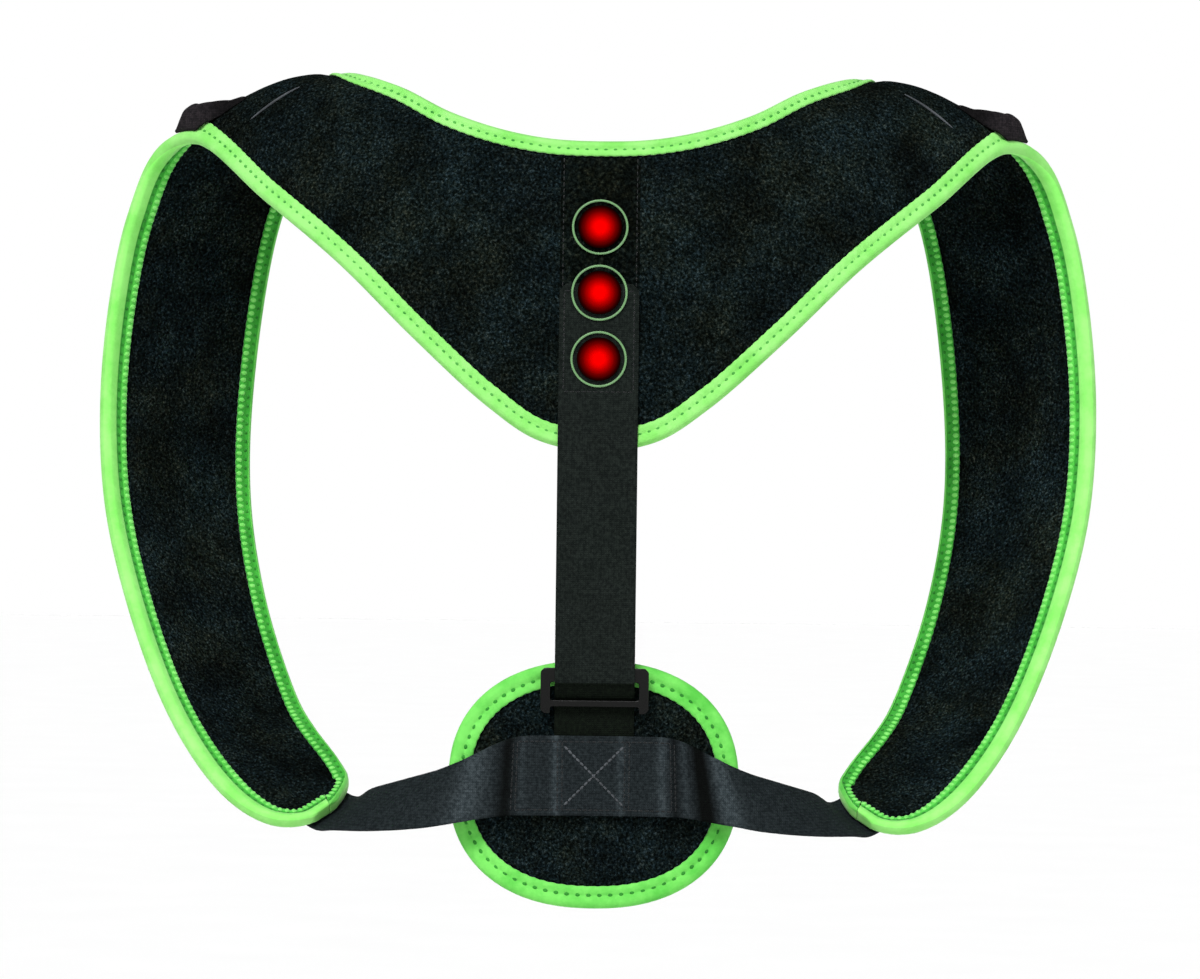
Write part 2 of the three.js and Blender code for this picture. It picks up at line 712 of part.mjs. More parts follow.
function lumbarBand() {
  const right = bandSections();
  const mirrored = (v) => new THREE.Vector3(-v.x, v.y, v.z);
  const left = right.map(({ middle, across }) => ({
    middle: mirrored(middle),
    across: mirrored(across),
  }));
  const all = [...left.reverse(), ...right.slice(1)];
  const middles = new THREE.CatmullRomCurve3(all.map(({ middle }) => middle));
  const widths = new THREE.CatmullRomCurve3(all.map(({ across }) => across));
  const steps = (all.length - 1) * BAND_STEPS_PER_ROW;
  const sections = Array.from({ length: steps + 1 }, (_, i) => {
    const u = i / steps;
    const middle = middles.getPoint(u);
    const across = widths.getPoint(u).normalize();
    const along = middles.getTangent(u);
    const out = along.clone().cross(across).normalize();
    return { middle, across: along.clone().cross(out).negate(), out };
  });
  return stripSolid(sections, WEB_WIDTH, WEB);
}

function shoulderTab(end) {
  const width = onEdge("neck", TAB_ROWS[0]).distanceTo(onEdge("arm", TAB_ROWS[0]));
  const loops = TAB_PLACES.map(([t, share]) => {
    const thick = t * width < TAB_HEM ? TAB_HEM_THICK : WEB;
    const overTape = clamp((t * width - ARM_LIP.outer) / NECK_LIP.outer, 0, 1);
    const base = lerp(ON_TAPE, ON_CLOTH, overTape);
    const face = (extra) =>
      TAB_ROWS.map((row, i) => {
        const place = offRibbon(end * row, t, base + extra);
        place.z += TAB_LIFT * share * (1 - (i / (TAB_ROWS.length - 1)) ** 2);
        return place;
      });
    return [...face(thick), ...face(0).reverse()];
  });
  return loopSolid(loops, slabCap);
}

// Round pieces on the middle of the back, turned to face outwards
function turned(profile) {
  return new THREE.LatheGeometry(profile.map(([r, h]) => new THREE.Vector2(r, h)), ROUND_SIDES);
}

function onSpine(mesh, z, height) {
  const { s, t } = onYoke(0, z);
  mesh.position.copy(offRibbon(s, t, height));
  mesh.quaternion.setFromUnitVectors(new THREE.Vector3(0, 1, 0), ribbonNormal(s, t));
  return mesh;
}

// Profile of a button, as shares of its radius and thickness
const BUTTON_PROFILE = [[0, 0], [1, 0], [1, 0.4], [0.9, 0.8], [0.5, 1], [0, 1]];

function buttonSolid() {
  return turned(BUTTON_PROFILE.map(([r, h]) => [r * BUTTON_RADIUS, h * BUTTON_THICK]));
}

function ringSolid() {
  const inner = BUTTON_RADIUS + RING_CLEARANCE;
  const outer = inner + RING_WIDTH;
  return turned([[inner, 0], [outer, 0], [(inner + outer) / 2, RING_THICK], [inner, 0]]);
}

// Colours as the photographed object has them
const cloth = new THREE.MeshStandardMaterial({ color: 0x0f1116, roughness: 0.95, metalness: 0 });
const lime = new THREE.MeshStandardMaterial({ color: 0x62f04a, roughness: 0.8, metalness: 0 });
const webbing = new THREE.MeshStandardMaterial({ color: 0x24292f, roughness: 0.8, metalness: 0 });
const plastic = new THREE.MeshStandardMaterial({ color: 0x2b2928, roughness: 0.35, metalness: 0 });
const red = new THREE.MeshStandardMaterial({ color: 0xf00808, roughness: 0.5, metalness: 0 });
const paleGreen = new THREE.MeshStandardMaterial({ color: 0x6e9664, roughness: 0.5, metalness: 0 });

const correctorGroup = new THREE.Group();

function add(name, geometry, material) {
  const mesh = new THREE.Mesh(geometry, material);
  mesh.name = name;
  correctorGroup.add(mesh);
  return mesh;
}

add("back_yoke", backYoke(), cloth);
add("shoulder_strap_right", shoulderStrap(1), cloth);
add("shoulder_strap_left", shoulderStrap(-1), cloth);
add("armhole_binding", armholeBinding(), lime);
add("neck_binding", neckBinding(), lime);
add("centre_strip", centreStrip(), cloth);
add("spine_strap", spineStrap(), webbing);
add("slider_buckle", sliderBuckle(), plastic);
add("lumbar_pad", lumbarPad(), cloth);
add("lumbar_binding", lumbarBinding(), lime);
add("lumbar_band", lumbarBand(), webbing);
add("shoulder_tab_right", shoulderTab(1), webbing);
add("shoulder_tab_left", shoulderTab(-1), webbing);
for (let i = 0; i < BUTTON_COUNT; i += 1) {
  const z = SPINE_TOP + BUTTON_TOP - i * BUTTON_PITCH;
  const reach = BUTTON_RADIUS + RING_CLEARANCE + RING_WIDTH;
  const seat = z - reach < SPINE_TOP ? UNDER_SPINE + WEB : ON_CLOTH + STRIP;
  onSpine(add(`magnet_button_${i + 1}`, buttonSolid(), red), z, seat + GAP);
  onSpine(add(`magnet_ring_${i + 1}`, ringSolid(), paleGreen), z, seat + GAP);
}

export default correctorGroup;
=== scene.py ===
import math
from collections import namedtuple

import bmesh
import bpy
import numpy as np
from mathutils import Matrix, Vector


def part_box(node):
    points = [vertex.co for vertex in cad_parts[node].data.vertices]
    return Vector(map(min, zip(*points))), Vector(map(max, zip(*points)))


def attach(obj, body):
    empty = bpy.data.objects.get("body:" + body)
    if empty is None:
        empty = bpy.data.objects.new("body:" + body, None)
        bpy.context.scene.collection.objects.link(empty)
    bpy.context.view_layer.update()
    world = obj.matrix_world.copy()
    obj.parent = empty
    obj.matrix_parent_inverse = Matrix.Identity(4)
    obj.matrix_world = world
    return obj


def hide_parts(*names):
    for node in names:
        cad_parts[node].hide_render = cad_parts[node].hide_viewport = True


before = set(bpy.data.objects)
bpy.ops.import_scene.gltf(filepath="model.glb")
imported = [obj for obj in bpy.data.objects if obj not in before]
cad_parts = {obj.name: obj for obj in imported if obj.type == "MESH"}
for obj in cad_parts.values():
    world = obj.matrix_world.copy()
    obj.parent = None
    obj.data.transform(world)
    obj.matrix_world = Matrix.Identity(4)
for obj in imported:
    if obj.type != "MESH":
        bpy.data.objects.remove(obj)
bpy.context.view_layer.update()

MM = 0.001

# Sizes of the ribbon of yoke and straps, as the part's solids have them
HALF_SPAN = 247 * MM
LOOP_DEPTH = 168 * MM
DROP = 353 * MM
CROWN = 10 * MM
CROWN_SKEW = 0.5
CLOTH = 3 * MM
PAD_CLOTH = 5 * MM
TAPE = 1.2 * MM
WEB = 1.6 * MM
WEB_WIDTH = 38 * MM
GAP = 0.3 * MM
TAPE_GAP = 0.45 * MM
END_RADIUS = 14 * MM
SEAM_ROW = 5 + 2 / 3
SPLICE_GAP = 0.4 * MM
STRIP = 1.2 * MM

# Sizes of what hangs from the yoke
PAD_HALF_WIDTH = 68.9 * MM
PAD_HALF_HEIGHT = 58.9 * MM
PAD_WRAP = 8 * MM
PAD_DISH = 2 * MM
PAD_SQUARENESS = 2.3
SPINE_LAP = 79.5 * MM
SPINE_TUCK = 26 * MM
PAD_HANG = 99.6 * MM
PAD_FORWARD = 5 * MM
SLIDER_BAR_TOP = 6.8 * MM
SLIDER_WINDOW = 8.4 * MM
SLIDER_BAR_LOW = 3.2 * MM
BAND_RISE = 4.4 * MM
BAND_SLACK = 0.3 * MM
BAND_SEAT = 0.66
TAB_LIFT = 11.5 * MM

# Each binding: its lips on both faces, how far its stitches are from the outer lip's edge and from each
# other, half the cloth that it folds over, its flat size and what it rests on
Binding = namedtuple("Binding", "outer inner stitch_inset pitch half_cloth flat rests_on")
BINDINGS = {
    "armhole": Binding(10 * MM, 13.5 * MM, 4.3 * MM, 4.5 * MM, CLOTH / 2, (0.03, 1.28), "yoke_cloth"),
    "neck": Binding(8 * MM, 8.5 * MM, 3.3 * MM, 4.5 * MM, CLOTH / 2, (0.0235, 1.05), "yoke_cloth"),
    "lumbar": Binding(
        11 * MM, 11 * MM, 4.4 * MM, 5.2 * MM, PAD_CLOTH / 2, (0.028, 0.4), "lumbar_pad_cushion"),
}
INNER_STITCH_INSET = 5.3 * MM
STITCH_SINK = {"outer": 0.42 * MM, "inner": 0.5 * MM}
LOOP_INSET = 1.9 * MM
LOOP_SINK = 0.42 * MM
LOOP_PITCH = 3.4 * MM
STITCH_PULL = 0.5 * MM
EDGE_SCALLOP = 0.3 * MM
SIDE_STEP = 1.15 * MM
END_STEPS = 22
PAD_TRIM_STEPS = 360
TIP_TAPER = {"arm": 0.38, "neck": 0.2}
TAPER_FROM = 70 * MM
TAPER_TO = 12 * MM

# Half length, half width and half height of each kind of stitch and loop
TRIM_STITCH = (0.95 * MM, 0.75 * MM, 0.4 * MM)
PAD_STITCH = (1.25 * MM, 0.95 * MM, 0.42 * MM)
OVERLOCK_LOOP = (1.25 * MM, 1.75 * MM, 0.6 * MM)
STRIP_STITCH = (1.05 * MM, 0.28 * MM, 0.22 * MM)
WEB_STITCH = (1.05 * MM, 0.32 * MM, 0.27 * MM)
CROSS_STITCH = (1.2 * MM, 0.55 * MM, 0.35 * MM)
WEB_STITCH_PITCH = 2.7 * MM

# The cloth of the yoke and the straps, their seam, and the centre strip
PANEL_STEP = 3 * MM
YOKE_CELLS = 44
YOKE_ROW = 28 * MM
STRAP_CELLS = 28
CORNER_STEPS = 8
CLOTH_PUFF = 0.75 * MM
PUFF_RIM = 7 * MM
PIT_RADII = (1 * MM, 0.8 * MM, 0.68 * MM)
PIT_DEPTHS = (0, 0.2 * MM, 1.1 * MM)
PIT_EVERY = 4
PIT_MARGIN = 5
SEAM_SPAN = (0.3, 0.66)
SEAM_STEPS = 60
SEAM_RADIUS = 0.6 * MM
SEAM_RISE = 0.1 * MM
STRIP_SHORT = 0.2 * MM
STRIP_STEPS = (60, 25)
STRIP_EDGE = 1.4 * MM
STRIP_SEAM_INSET = 1.6 * MM
STRIP_SEAM_PITCH = 3 * MM
STRIP_STITCH_SINK = 0.02 * MM
LINE_STEPS = 120

# The lumbar pad's cushion and its swelling
PAD_RINGS = 26
PAD_SPOKES = 144
PAD_CROWN = 0.6 * MM
PAD_SWELL = 2.2 * MM
PAD_PRESSURE = 4
PAD_RIM = 0.12
PAD_RIM_END = 0.87
PAD_EASE = 8 * MM
BAND_MARGIN = 2 * MM
SPINE_MARGIN = 7 * MM
SWELL_FRAMES = 20
CLOTH_QUALITY = 6
PIN_STIFFNESS = 2

# The spine strap's stitched box, and the lumbar band's gathers and stitches
SPINE_STEPS = 220
SPINE_CORNER = 3.2 * MM
SPINE_BOX = (3.2 * MM, 51 * MM)
SPINE_SEAM_START = 4 * MM
SPINE_SEAM_INSET = 2.4 * MM
BAND_STEPS = 520
BAND_GATHER = 0.1
GATHER_SPAN = (28 * MM, 62 * MM)
BAND_EASE = 16
RIPPLE_HEIGHT = 0.9 * MM
# How strongly the band's ripples get painted highlights on their crests and painted shade in their dips
RIPPLE_SHADING = 0.55
TACK_PLACES = (-38.6, -36.6, -17.2, -15, 14.6, 16.8, 36.6, 38.6)
TACK_BOX = 36.6
TACK_REACH = 16.2
CROSS_REACH = 14

# Ripples of the band, left to right: place and spread in mm, and height, where below 0 is a dip
BAND_RIPPLES = (
    (-59, 7.5, 0.9),
    (-41.5, 4, -0.85),
    (-34, 2, 0.3),
    (-18, 2, 0.8),
    (12.8, 1.8, 0.6),
    (32.5, 2.4, 0.75),
    (38.5, 2, -0.6),
    (43.5, 1.6, 0.3),
    (52, 4.2, -1.2),
    (62.5, 5, 1),
)

# Both edges of each row of the ribbon, from the midline to a strap's end, as shares of the sizes above:
# arm edge out, deep and rise, neck edge out, deep and rise, and bow
SECTIONS = np.array([
    [0, -0.476, -0.484, 0, -0.369, -0.065, 0.45],
    [0.115, -0.474, -0.47, 0.097, -0.363, -0.062, 0.45],
    [0.212, -0.458, -0.426, 0.188, -0.339, -0.05, 0.45],
    [0.357, -0.405, -0.335, 0.292, -0.274, -0.025, 0.45],
    [0.505, -0.321, -0.234, 0.386, -0.179, 0.009, 0.55],
    [0.66, -0.185, -0.144, 0.458, -0.083, 0.025, 0.8],
    [0.813, 0.012, -0.059, 0.5, 0.024, 0.027, 1],
    [0.9, 0.131, -0.082, 0.534, 0.167, 0.005, 0.8],
    [0.951, 0.185, -0.163, 0.595, 0.333, -0.065, 0.55],
    [0.981, 0.208, -0.261, 0.659, 0.452, -0.167, 0.35],
    [0.999, 0.208, -0.409, 0.709, 0.524, -0.385, 0.35],
    [0.985, 0.155, -0.557, 0.713, 0.5, -0.55, 0.35],
    [0.931, 0.036, -0.697, 0.673, 0.369, -0.699, 0.35],
    [0.849, -0.107, -0.833, 0.603, 0.202, -0.829, 0.35],
    [0.772, -0.226, -0.916, 0.559, 0.071, -0.874, 0.25],
    [0.71, -0.298, -0.96, 0.506, -0.036, -0.916, 0.2],
    [0.653, -0.333, -0.984, 0.481, -0.107, -0.939, 0.15],
    [0.568, -0.357, -1, 0.47, -0.179, -0.952, 0.1],
])

# The lumbar band's bends: shares of the way out, forwards and down to where it is sewn on, and of its turn
BAND_ROWS = np.array([
    [0, 0, 0, 0],
    [0.16, 0, 0, 0],
    [0.31, 0.01, 0.03, 0.05],
    [0.4, 0.03, 0.15, 0.18],
    [0.48, 0.02, 0.3, 0.32],
    [0.55, 0.02, 0.42, 0.43],
    [0.65, 0.11, 0.57, 0.56],
    [0.8, 0.36, 0.74, 0.7],
    [0.93, 0.72, 0.88, 0.85],
])

# A shoulder tab's places: share of the ribbon's width, and of TAB_LIFT
TAB_PLACES = np.array([
    [0.4, 0],
    [0.34, 0.14],
    [0.29, 0.38],
    [0.24, 0.6],
    [0.19, 0.77],
    [0.15, 0.84],
    [0.12, 0.86],
    [0.095, 0.85],
    [0.078, 0.7],
    [0.055, 0],
])
TAB_ROWS = (6, 6.48)
TAB_STEPS = (46, 33)
TAB_HEM = 7 * MM
TAB_HEM_STEP = 0.6 * MM

# The slider, the rings and the studio
SLIDER_VOXEL = 0.4 * MM
SLIDER_ROUNDINGS = 12
RING_THICKNESS = 0.55 * MM
ROUND_STEPS = 64
VIEW_WIDTH = 570 * MM
CAMERA_DISTANCE = 2.4
REFERENCE_DEPTH = -78 * MM
CAMERA_HEIGHT = -189 * MM
CAMERA_SIDE = 1.4 * MM
CAMERA_ROLL = math.radians(-0.7)
SENSOR_WIDTH = 36
FAR_CLIP = 100
FLOOR_HEIGHT = -1.3
FLOOR_REACH = 40
SUN_LIGHT = 3.0
SUN_SPREAD = 24
SUN_TRAVEL = (0.22, 0.62, -0.75)
DOME_LIGHT = 0.25
FILL_PLACE = (1.5, -1.5, 0.3)
FILL_TARGET = (0, 0, -0.18)
FILL_SIZE = 1.4
FILL_POWER = 5

LAST = len(SECTIONS) - 1
FAN_ROW = 14
HALF_CLOTH = CLOTH / 2
ON_CLOTH = HALF_CLOTH + GAP
ON_TAPE = HALF_CLOTH + TAPE_GAP + TAPE + GAP

# Fineness of what is worked out in steps
SMALL_STEP = 0.02
SAME_PLACE = 1e-4
HALVINGS = 24
CORNER_ROUNDS = 4
YOKE_ROUNDS = 12
DENSE_ROWS = 900
SHORT_WAY = 0.2 * MM


# Curves and surfaces

def unit(v):
    return v / np.linalg.norm(v, axis=-1, keepdims=True)


def catmull_rom(points, u):
    """Places on the centripetal curve through the points. u counts points from the first."""
    first, last = 2 * points[0] - points[1], 2 * points[-1] - points[-2]
    around = np.vstack([first, points, last])
    i = np.clip(np.floor(u).astype(int), 0, len(points) - 2)
    w = (u - i)[..., None]
    p0, p1, p2, p3 = (around[i + k] for k in range(4))
    d0, d1, d2 = (
        np.linalg.norm(b - a, axis=-1, keepdims=True) ** 0.5 for a, b in ((p0, p1), (p1, p2), (p2, p3))
    )
    d1 = np.where(d1 < SAME_PLACE, 1, d1)
    d0, d2 = np.where(d0 < SAME_PLACE, d1, d0), np.where(d2 < SAME_PLACE, d1, d2)
    m1 = ((p1 - p0) / d0 - (p2 - p0) / (d0 + d1) + (p2 - p1) / d1) * d1
    m2 = ((p2 - p1) / d1 - (p3 - p1) / (d1 + d2) + (p3 - p2) / d2) * d1
    return p1 + m1 * w + (3 * (p2 - p1) - 2 * m1 - m2) * w**2 + (2 * (p1 - p2) + m1 + m2) * w**3


def edge_controls(columns):
    right = SECTIONS[:, columns] * [HALF_SPAN, LOOP_DEPTH, DROP]
    return np.vstack([(right * [-1, 1, 1])[:0:-1], right])


EDGES = {"arm": edge_controls([0, 1, 2]), "neck": edge_controls([3, 4, 5])}


def on_edge(edge, s):
    return catmull_rom(EDGES[edge], np.clip(np.asarray(s, float), -LAST, LAST) + LAST)


def slope(f, x):
    low = np.maximum(x - SMALL_STEP, -LAST)
    high = np.minimum(x + SMALL_STEP, LAST)
    return (f(high) - f(low)) / (high - low)[..., None]


def section_normal(s):
    along = slope(lambda x: (on_edge("arm", x) + on_edge("neck", x)) / 2, s)
    return unit(np.cross(along, on_edge("neck", s) - on_edge("arm", s)))


def ribbon(s, t):
    """The ribbon's middle surface: s counts rows from the midline, t goes from arm edge to neck edge."""
    s, t = np.broadcast_arrays(np.asarray(s, float), np.asarray(t, float))
    share = t[..., None]
    flat = on_edge("arm", s) * (1 - share) + on_edge("neck", s) * share
    bow = np.interp(np.abs(s), np.arange(LAST + 1), SECTIONS[:, 6]) * CROWN
    arch = 4 * t * (1 - t) * (1 + CROWN_SKEW * (2 * t - 1)) * bow
    return flat + section_normal(s) * arch[..., None]


def ribbon_slopes(s, t):
    """How the ribbon's places change with s and with t."""
    along = slope(lambda x: ribbon(x, t), s)
    across = (ribbon(s, t + SMALL_STEP) - ribbon(s, t - SMALL_STEP)) / (2 * SMALL_STEP)
    return along, across


def ribbon_normal(s, t):
    s, t = np.broadcast_arrays(np.asarray(s, float), np.asarray(t, float))
    return unit(np.cross(*ribbon_slopes(s, t)))


def off_ribbon(s, t, height):
    return ribbon(s, t) + ribbon_normal(s, t) * np.asarray(height, float)[..., None]


def lerp(a, b, share):
    return a + (b - a) * share


def smooth(low, high, x):
    share = np.clip((x - low) / (high - low), 0, 1)
    return share * share * (3 - 2 * share)


def mirrored(points):
    return points * [-1, 1, 1]


def arc_lengths(points):
    return np.concatenate([[0], np.cumsum(np.linalg.norm(np.diff(points, axis=0), axis=1))])


# Places near a strap's end, on the right half

def from_end(s, t):
    a, b = on_edge("arm", LAST), on_edge("neck", LAST)
    line = unit(b - a)
    away = ribbon(s, t) - a
    return np.linalg.norm(away - (away @ line)[..., None] * line, axis=-1)


def row_at_end_distance(t, distance):
    near = np.full(np.shape(t), float(LAST))
    far = np.full(np.shape(t), float(FAN_ROW - 1))
    for _ in range(HALVINGS):
        middle = (near + far) / 2
        closer = from_end(middle, t) < distance
        near = np.where(closer, middle, near)
        far = np.where(closer, far, middle)
    return (near + far) / 2


def edge_share(arm_row, neck_row, edge, distance):
    chord = on_edge("neck", neck_row) - on_edge("arm", arm_row)
    tangent = slope(lambda x: on_edge(edge, x), arm_row if edge == "arm" else neck_row)
    sine = np.linalg.norm(np.cross(unit(chord), unit(tangent)), axis=-1)
    return distance / (np.linalg.norm(chord, axis=-1) * sine)


def near_corner(edge, from_side, from_end_line):
    from_side, from_end_line = np.broadcast_arrays(np.asarray(from_side, float), from_end_line)
    s = np.full(from_side.shape, float(LAST))
    for _ in range(CORNER_ROUNDS):
        share = edge_share(s, s, edge, from_side)
        t = share if edge == "arm" else 1 - share
        s = row_at_end_distance(t, from_end_line)
    return s, t


LAST_ROW = {edge: float(near_corner(edge, 0.0, END_RADIUS)[0]) for edge in ("arm", "neck")}


def partner_row(edge, row):
    """The row of the other edge that faces a row of this edge: beyond FAN_ROW they fan out."""
    other = LAST_ROW["neck" if edge == "arm" else "arm"]
    share = np.clip((row - FAN_ROW) / (LAST_ROW[edge] - FAN_ROW), 0, 1)
    return np.where(row < FAN_ROW, row, lerp(FAN_ROW, other, share))


def side_place(edge, row, inset):
    other = partner_row(edge, row)
    arm_row, neck_row = (row, other) if edge == "arm" else (other, row)
    share = edge_share(arm_row, neck_row, edge, inset)
    t = share if edge == "arm" else 1 - share
    return lerp(arm_row, neck_row, t), t


def corner_place(edge, angle, inset):
    radius = END_RADIUS - inset
    return near_corner(edge, END_RADIUS - radius * np.cos(angle), END_RADIUS - radius * np.sin(angle))


def end_place(share, inset):
    _, a = near_corner("arm", END_RADIUS, inset)
    _, b = near_corner("neck", END_RADIUS, inset)
    t = lerp(a, b, share)
    return row_at_end_distance(t, np.full(np.shape(t), inset)), t


def even_rows(edge, step):
    """Rows from the midline to the rounded end, evenly spaced along the edge."""
    dense = np.linspace(0, LAST_ROW[edge], DENSE_ROWS)
    arc = arc_lengths(on_edge(edge, dense))
    count = int(arc[-1] / step)
    return np.interp(np.linspace(0, arc[-1], count + 1), arc, dense)


class Trim:
    """The right half of one edge's binding: turns an inset into places all along it."""

    closed = False

    def __init__(self, edge):
        self.edge = edge
        self.rows = even_rows(edge, SIDE_STEP)
        self.angles = np.linspace(0, math.pi / 2, END_STEPS)[1:]
        tip = ribbon(*end_place(np.array([0.0, 1.0]), 0.0))
        full = 1 - SPLICE_GAP / np.linalg.norm(tip[1] - tip[0])
        self.shares = np.linspace(0, full, END_STEPS)[1:] if edge == "arm" else np.zeros(0)
        to_end = arc_lengths(self.line(0.0, 0.0)[0])
        self.taper = 1 - TIP_TAPER[edge] * smooth(-TAPER_FROM, -TAPER_TO, to_end - to_end[-1])

    def places(self, inset):
        side, corner = len(self.rows), len(self.rows) + len(self.angles)
        inset = np.broadcast_to(inset, (corner + len(self.shares),))
        parts = [
            side_place(self.edge, self.rows, inset[:side]),
            corner_place(self.edge, self.angles, inset[side:corner]),
        ]
        if len(self.shares):
            parts.append(end_place(self.shares, inset[corner:]))
        return np.concatenate(parts, axis=1)

    def line(self, inset, height):
        s, t = self.places(inset)
        return off_ribbon(s, t, height), ribbon_normal(s, t)


# Meshes

def grid_faces(rows, cols, close_rows=False, close_cols=False):
    i = np.arange(rows if close_rows else rows - 1)
    j = np.arange(cols if close_cols else cols - 1)
    i, j = (a.ravel() for a in np.meshgrid(i, j, indexing="ij"))
    i1, j1 = (i + 1) % rows, (j + 1) % cols
    return np.stack([i * cols + j, i * cols + j1, i1 * cols + j1, i1 * cols + j], axis=1)


def add_object(name, data):
    piece = bpy.data.objects.new(name, data)
    bpy.context.scene.collection.objects.link(piece)
    return piece


def settle(piece, node):
    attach(piece, "root")
    if node:
        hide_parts(node)
    return piece


def make_piece(name, points, faces, materials, node=None, face_materials=None):
    """A piece in place of a node, with each face's material where it has more than one."""
    mesh = bpy.data.meshes.new(name)
    mesh.from_pydata(np.asarray(points).reshape(-1, 3).tolist(), [], [list(map(int, f)) for f in faces])
    for material in materials:
        mesh.materials.append(material)
    if face_materials is not None:
        mesh.polygons.foreach_set("material_index", np.asarray(face_materials, np.int32))
    b = bmesh.new()
    b.from_mesh(mesh)
    bmesh.ops.recalc_face_normals(b, faces=b.faces)
    b.to_mesh(mesh)
    b.free()
    mesh.polygons.foreach_set("use_smooth", np.ones(len(mesh.polygons), bool))
    return settle(add_object(name, mesh), node)


def tube_faces(rows, around, closed=False):
    faces = [list(f) for f in grid_faces(rows, around, close_rows=closed, close_cols=True)]
    if not closed:
        faces.append(list(range(around)))
        faces.append([(rows - 1) * around + k for k in range(around)])
    return faces


def both_halves(right):
    """Loops of the right half, which start at the midline, with their mirror image before them."""
    return np.concatenate([mirrored(right[:0:-1]), right])


# Small sewn things: rows of little domes that stand for stitches, knots and overlocked loops

def dome_template(segments, rings):
    points = [[0, 0, 1]]
    for r in range(1, rings):
        angle = math.pi * r / rings
        for k in range(segments):
            turn = 2 * math.pi * k / segments
            flat = (math.sin(angle) * math.cos(turn), math.sin(angle) * math.sin(turn))
            points.append([*flat, math.cos(angle)])
    points.append([0, 0, -1])
    faces = [[0, 1 + k, 1 + (k + 1) % segments] for k in range(segments)]
    for r in range(rings - 2):
        a, b = 1 + r * segments, 1 + (r + 1) * segments
        faces += [[a + k, b + k, b + (k + 1) % segments, a + (k + 1) % segments] for k in range(segments)]
    low = 1 + (rings - 2) * segments
    faces += [[low + k, len(points) - 1, low + (k + 1) % segments] for k in range(segments)]
    return np.array(points), faces


DOME = dome_template(8, 4)


def interpolated(at, arc, rows):
    return np.stack([np.interp(at, arc, rows[:, k]) for k in range(3)], axis=1)


def spaced(points, normals, pitch, closed=False):
    """Evenly spaced places on a line, with their directions along it and outwards."""
    if closed:
        points = np.vstack([points, points[:1]])
        normals = np.vstack([normals, normals[:1]])
    arc = arc_lengths(points)
    count = max(int(round(arc[-1] / pitch)), 1)
    at = (np.arange(count) + 0.5) * arc[-1] / count
    along = interpolated(at + SHORT_WAY, arc, points) - interpolated(at - SHORT_WAY, arc, points)
    return interpolated(at, arc, points), unit(along), unit(interpolated(at, arc, normals))


def domes(centres, along, out, size):
    """Points and faces of a dome at each place; size is its half length, half width and half height."""
    template, faces = DOME
    across = np.cross(out, along)
    points = (
        centres[:, None]
        + along[:, None] * template[None, :, :1] * size[0]
        + across[:, None] * template[None, :, 1:2] * size[1]
        + out[:, None] * template[None, :, 2:] * size[2]
    )
    all_faces = [[v + k * len(template) for v in f] for k in range(len(centres)) for f in faces]
    return points.reshape(-1, 3), all_faces


def joined(parts):
    points, faces, start = [], [], 0
    for p, f in parts:
        points.append(p)
        faces += [[v + start for v in face] for face in f]
        start += len(p)
    return np.concatenate(points), faces


def sewn_piece(name, parts, thread):
    points, faces = joined(parts)
    make_piece(name, points, faces, [thread])


def evaluated_mesh(piece):
    return bpy.data.meshes.new_from_object(piece.evaluated_get(bpy.context.evaluated_depsgraph_get()))


def coordinates(mesh):
    flat = np.empty(3 * len(mesh.vertices))
    mesh.vertices.foreach_get("co", flat)
    return flat.reshape(-1, 3)


# Materials

def grey(value):
    return (value, value, value)


def add_node(tree, kind, links=(), **values):
    """A node with values on its sockets or properties, and with sockets linked to other nodes' outputs."""
    node = tree.nodes.new(kind)
    for name, value in values.items():
        if name in node.inputs:
            node.inputs[name].default_value = value
        else:
            setattr(node, name, value)
    for socket, output in dict(links).items():
        tree.links.new(output, node.inputs[socket])
    return node


def shader(name, roughness, specular, sheen=0.0, sheen_roughness=0.5):
    material = bpy.data.materials.new(name)
    material.use_nodes = True
    tree = material.node_tree
    bsdf = tree.nodes["Principled BSDF"]
    bsdf.inputs["Roughness"].default_value = roughness
    bsdf.inputs["Specular IOR Level"].default_value = specular
    bsdf.inputs["Sheen Weight"].default_value = sheen
    bsdf.inputs["Sheen Roughness"].default_value = sheen_roughness
    return material, tree, bsdf


def object_coordinates(tree):
    return tree.nodes.new("ShaderNodeTexCoord").outputs["Object"]


def noise(tree, place, scale, detail=2.0, roughness=0.5):
    values = {"Scale": scale, "Detail": detail, "Roughness": roughness}
    return add_node(tree, "ShaderNodeTexNoise", {"Vector": place}, **values).outputs["Fac"]


def ramp(tree, factor, stops):
    node = add_node(tree, "ShaderNodeValToRGB", {"Fac": factor})
    elements = node.color_ramp.elements
    while len(elements) < len(stops):
        elements.new(0.5)
    for element, (position, colour) in zip(elements, stops):
        element.position = position
        element.color = (*colour, 1)
    return node.outputs["Color"]


def mixed(tree, factor, a, b):
    node = add_node(tree, "ShaderNodeMix", {"Factor": factor}, data_type="RGBA")
    node.inputs[6].default_value = (*a, 1)
    node.inputs[7].default_value = (*b, 1)
    return node.outputs[2]


def times(tree, a, b):
    node = add_node(tree, "ShaderNodeMix", {6: a, 7: b}, data_type="RGBA", blend_type="MULTIPLY", Factor=1)
    return node.outputs[2]


def coloured(tree, bsdf, colour):
    tree.links.new(colour, bsdf.inputs["Base Color"])


def bumped(tree, bsdf, height, distance, strength):
    node = add_node(tree, "ShaderNodeBump", {"Height": height}, Strength=strength, Distance=distance)
    tree.links.new(node.outputs["Normal"], bsdf.inputs["Normal"])


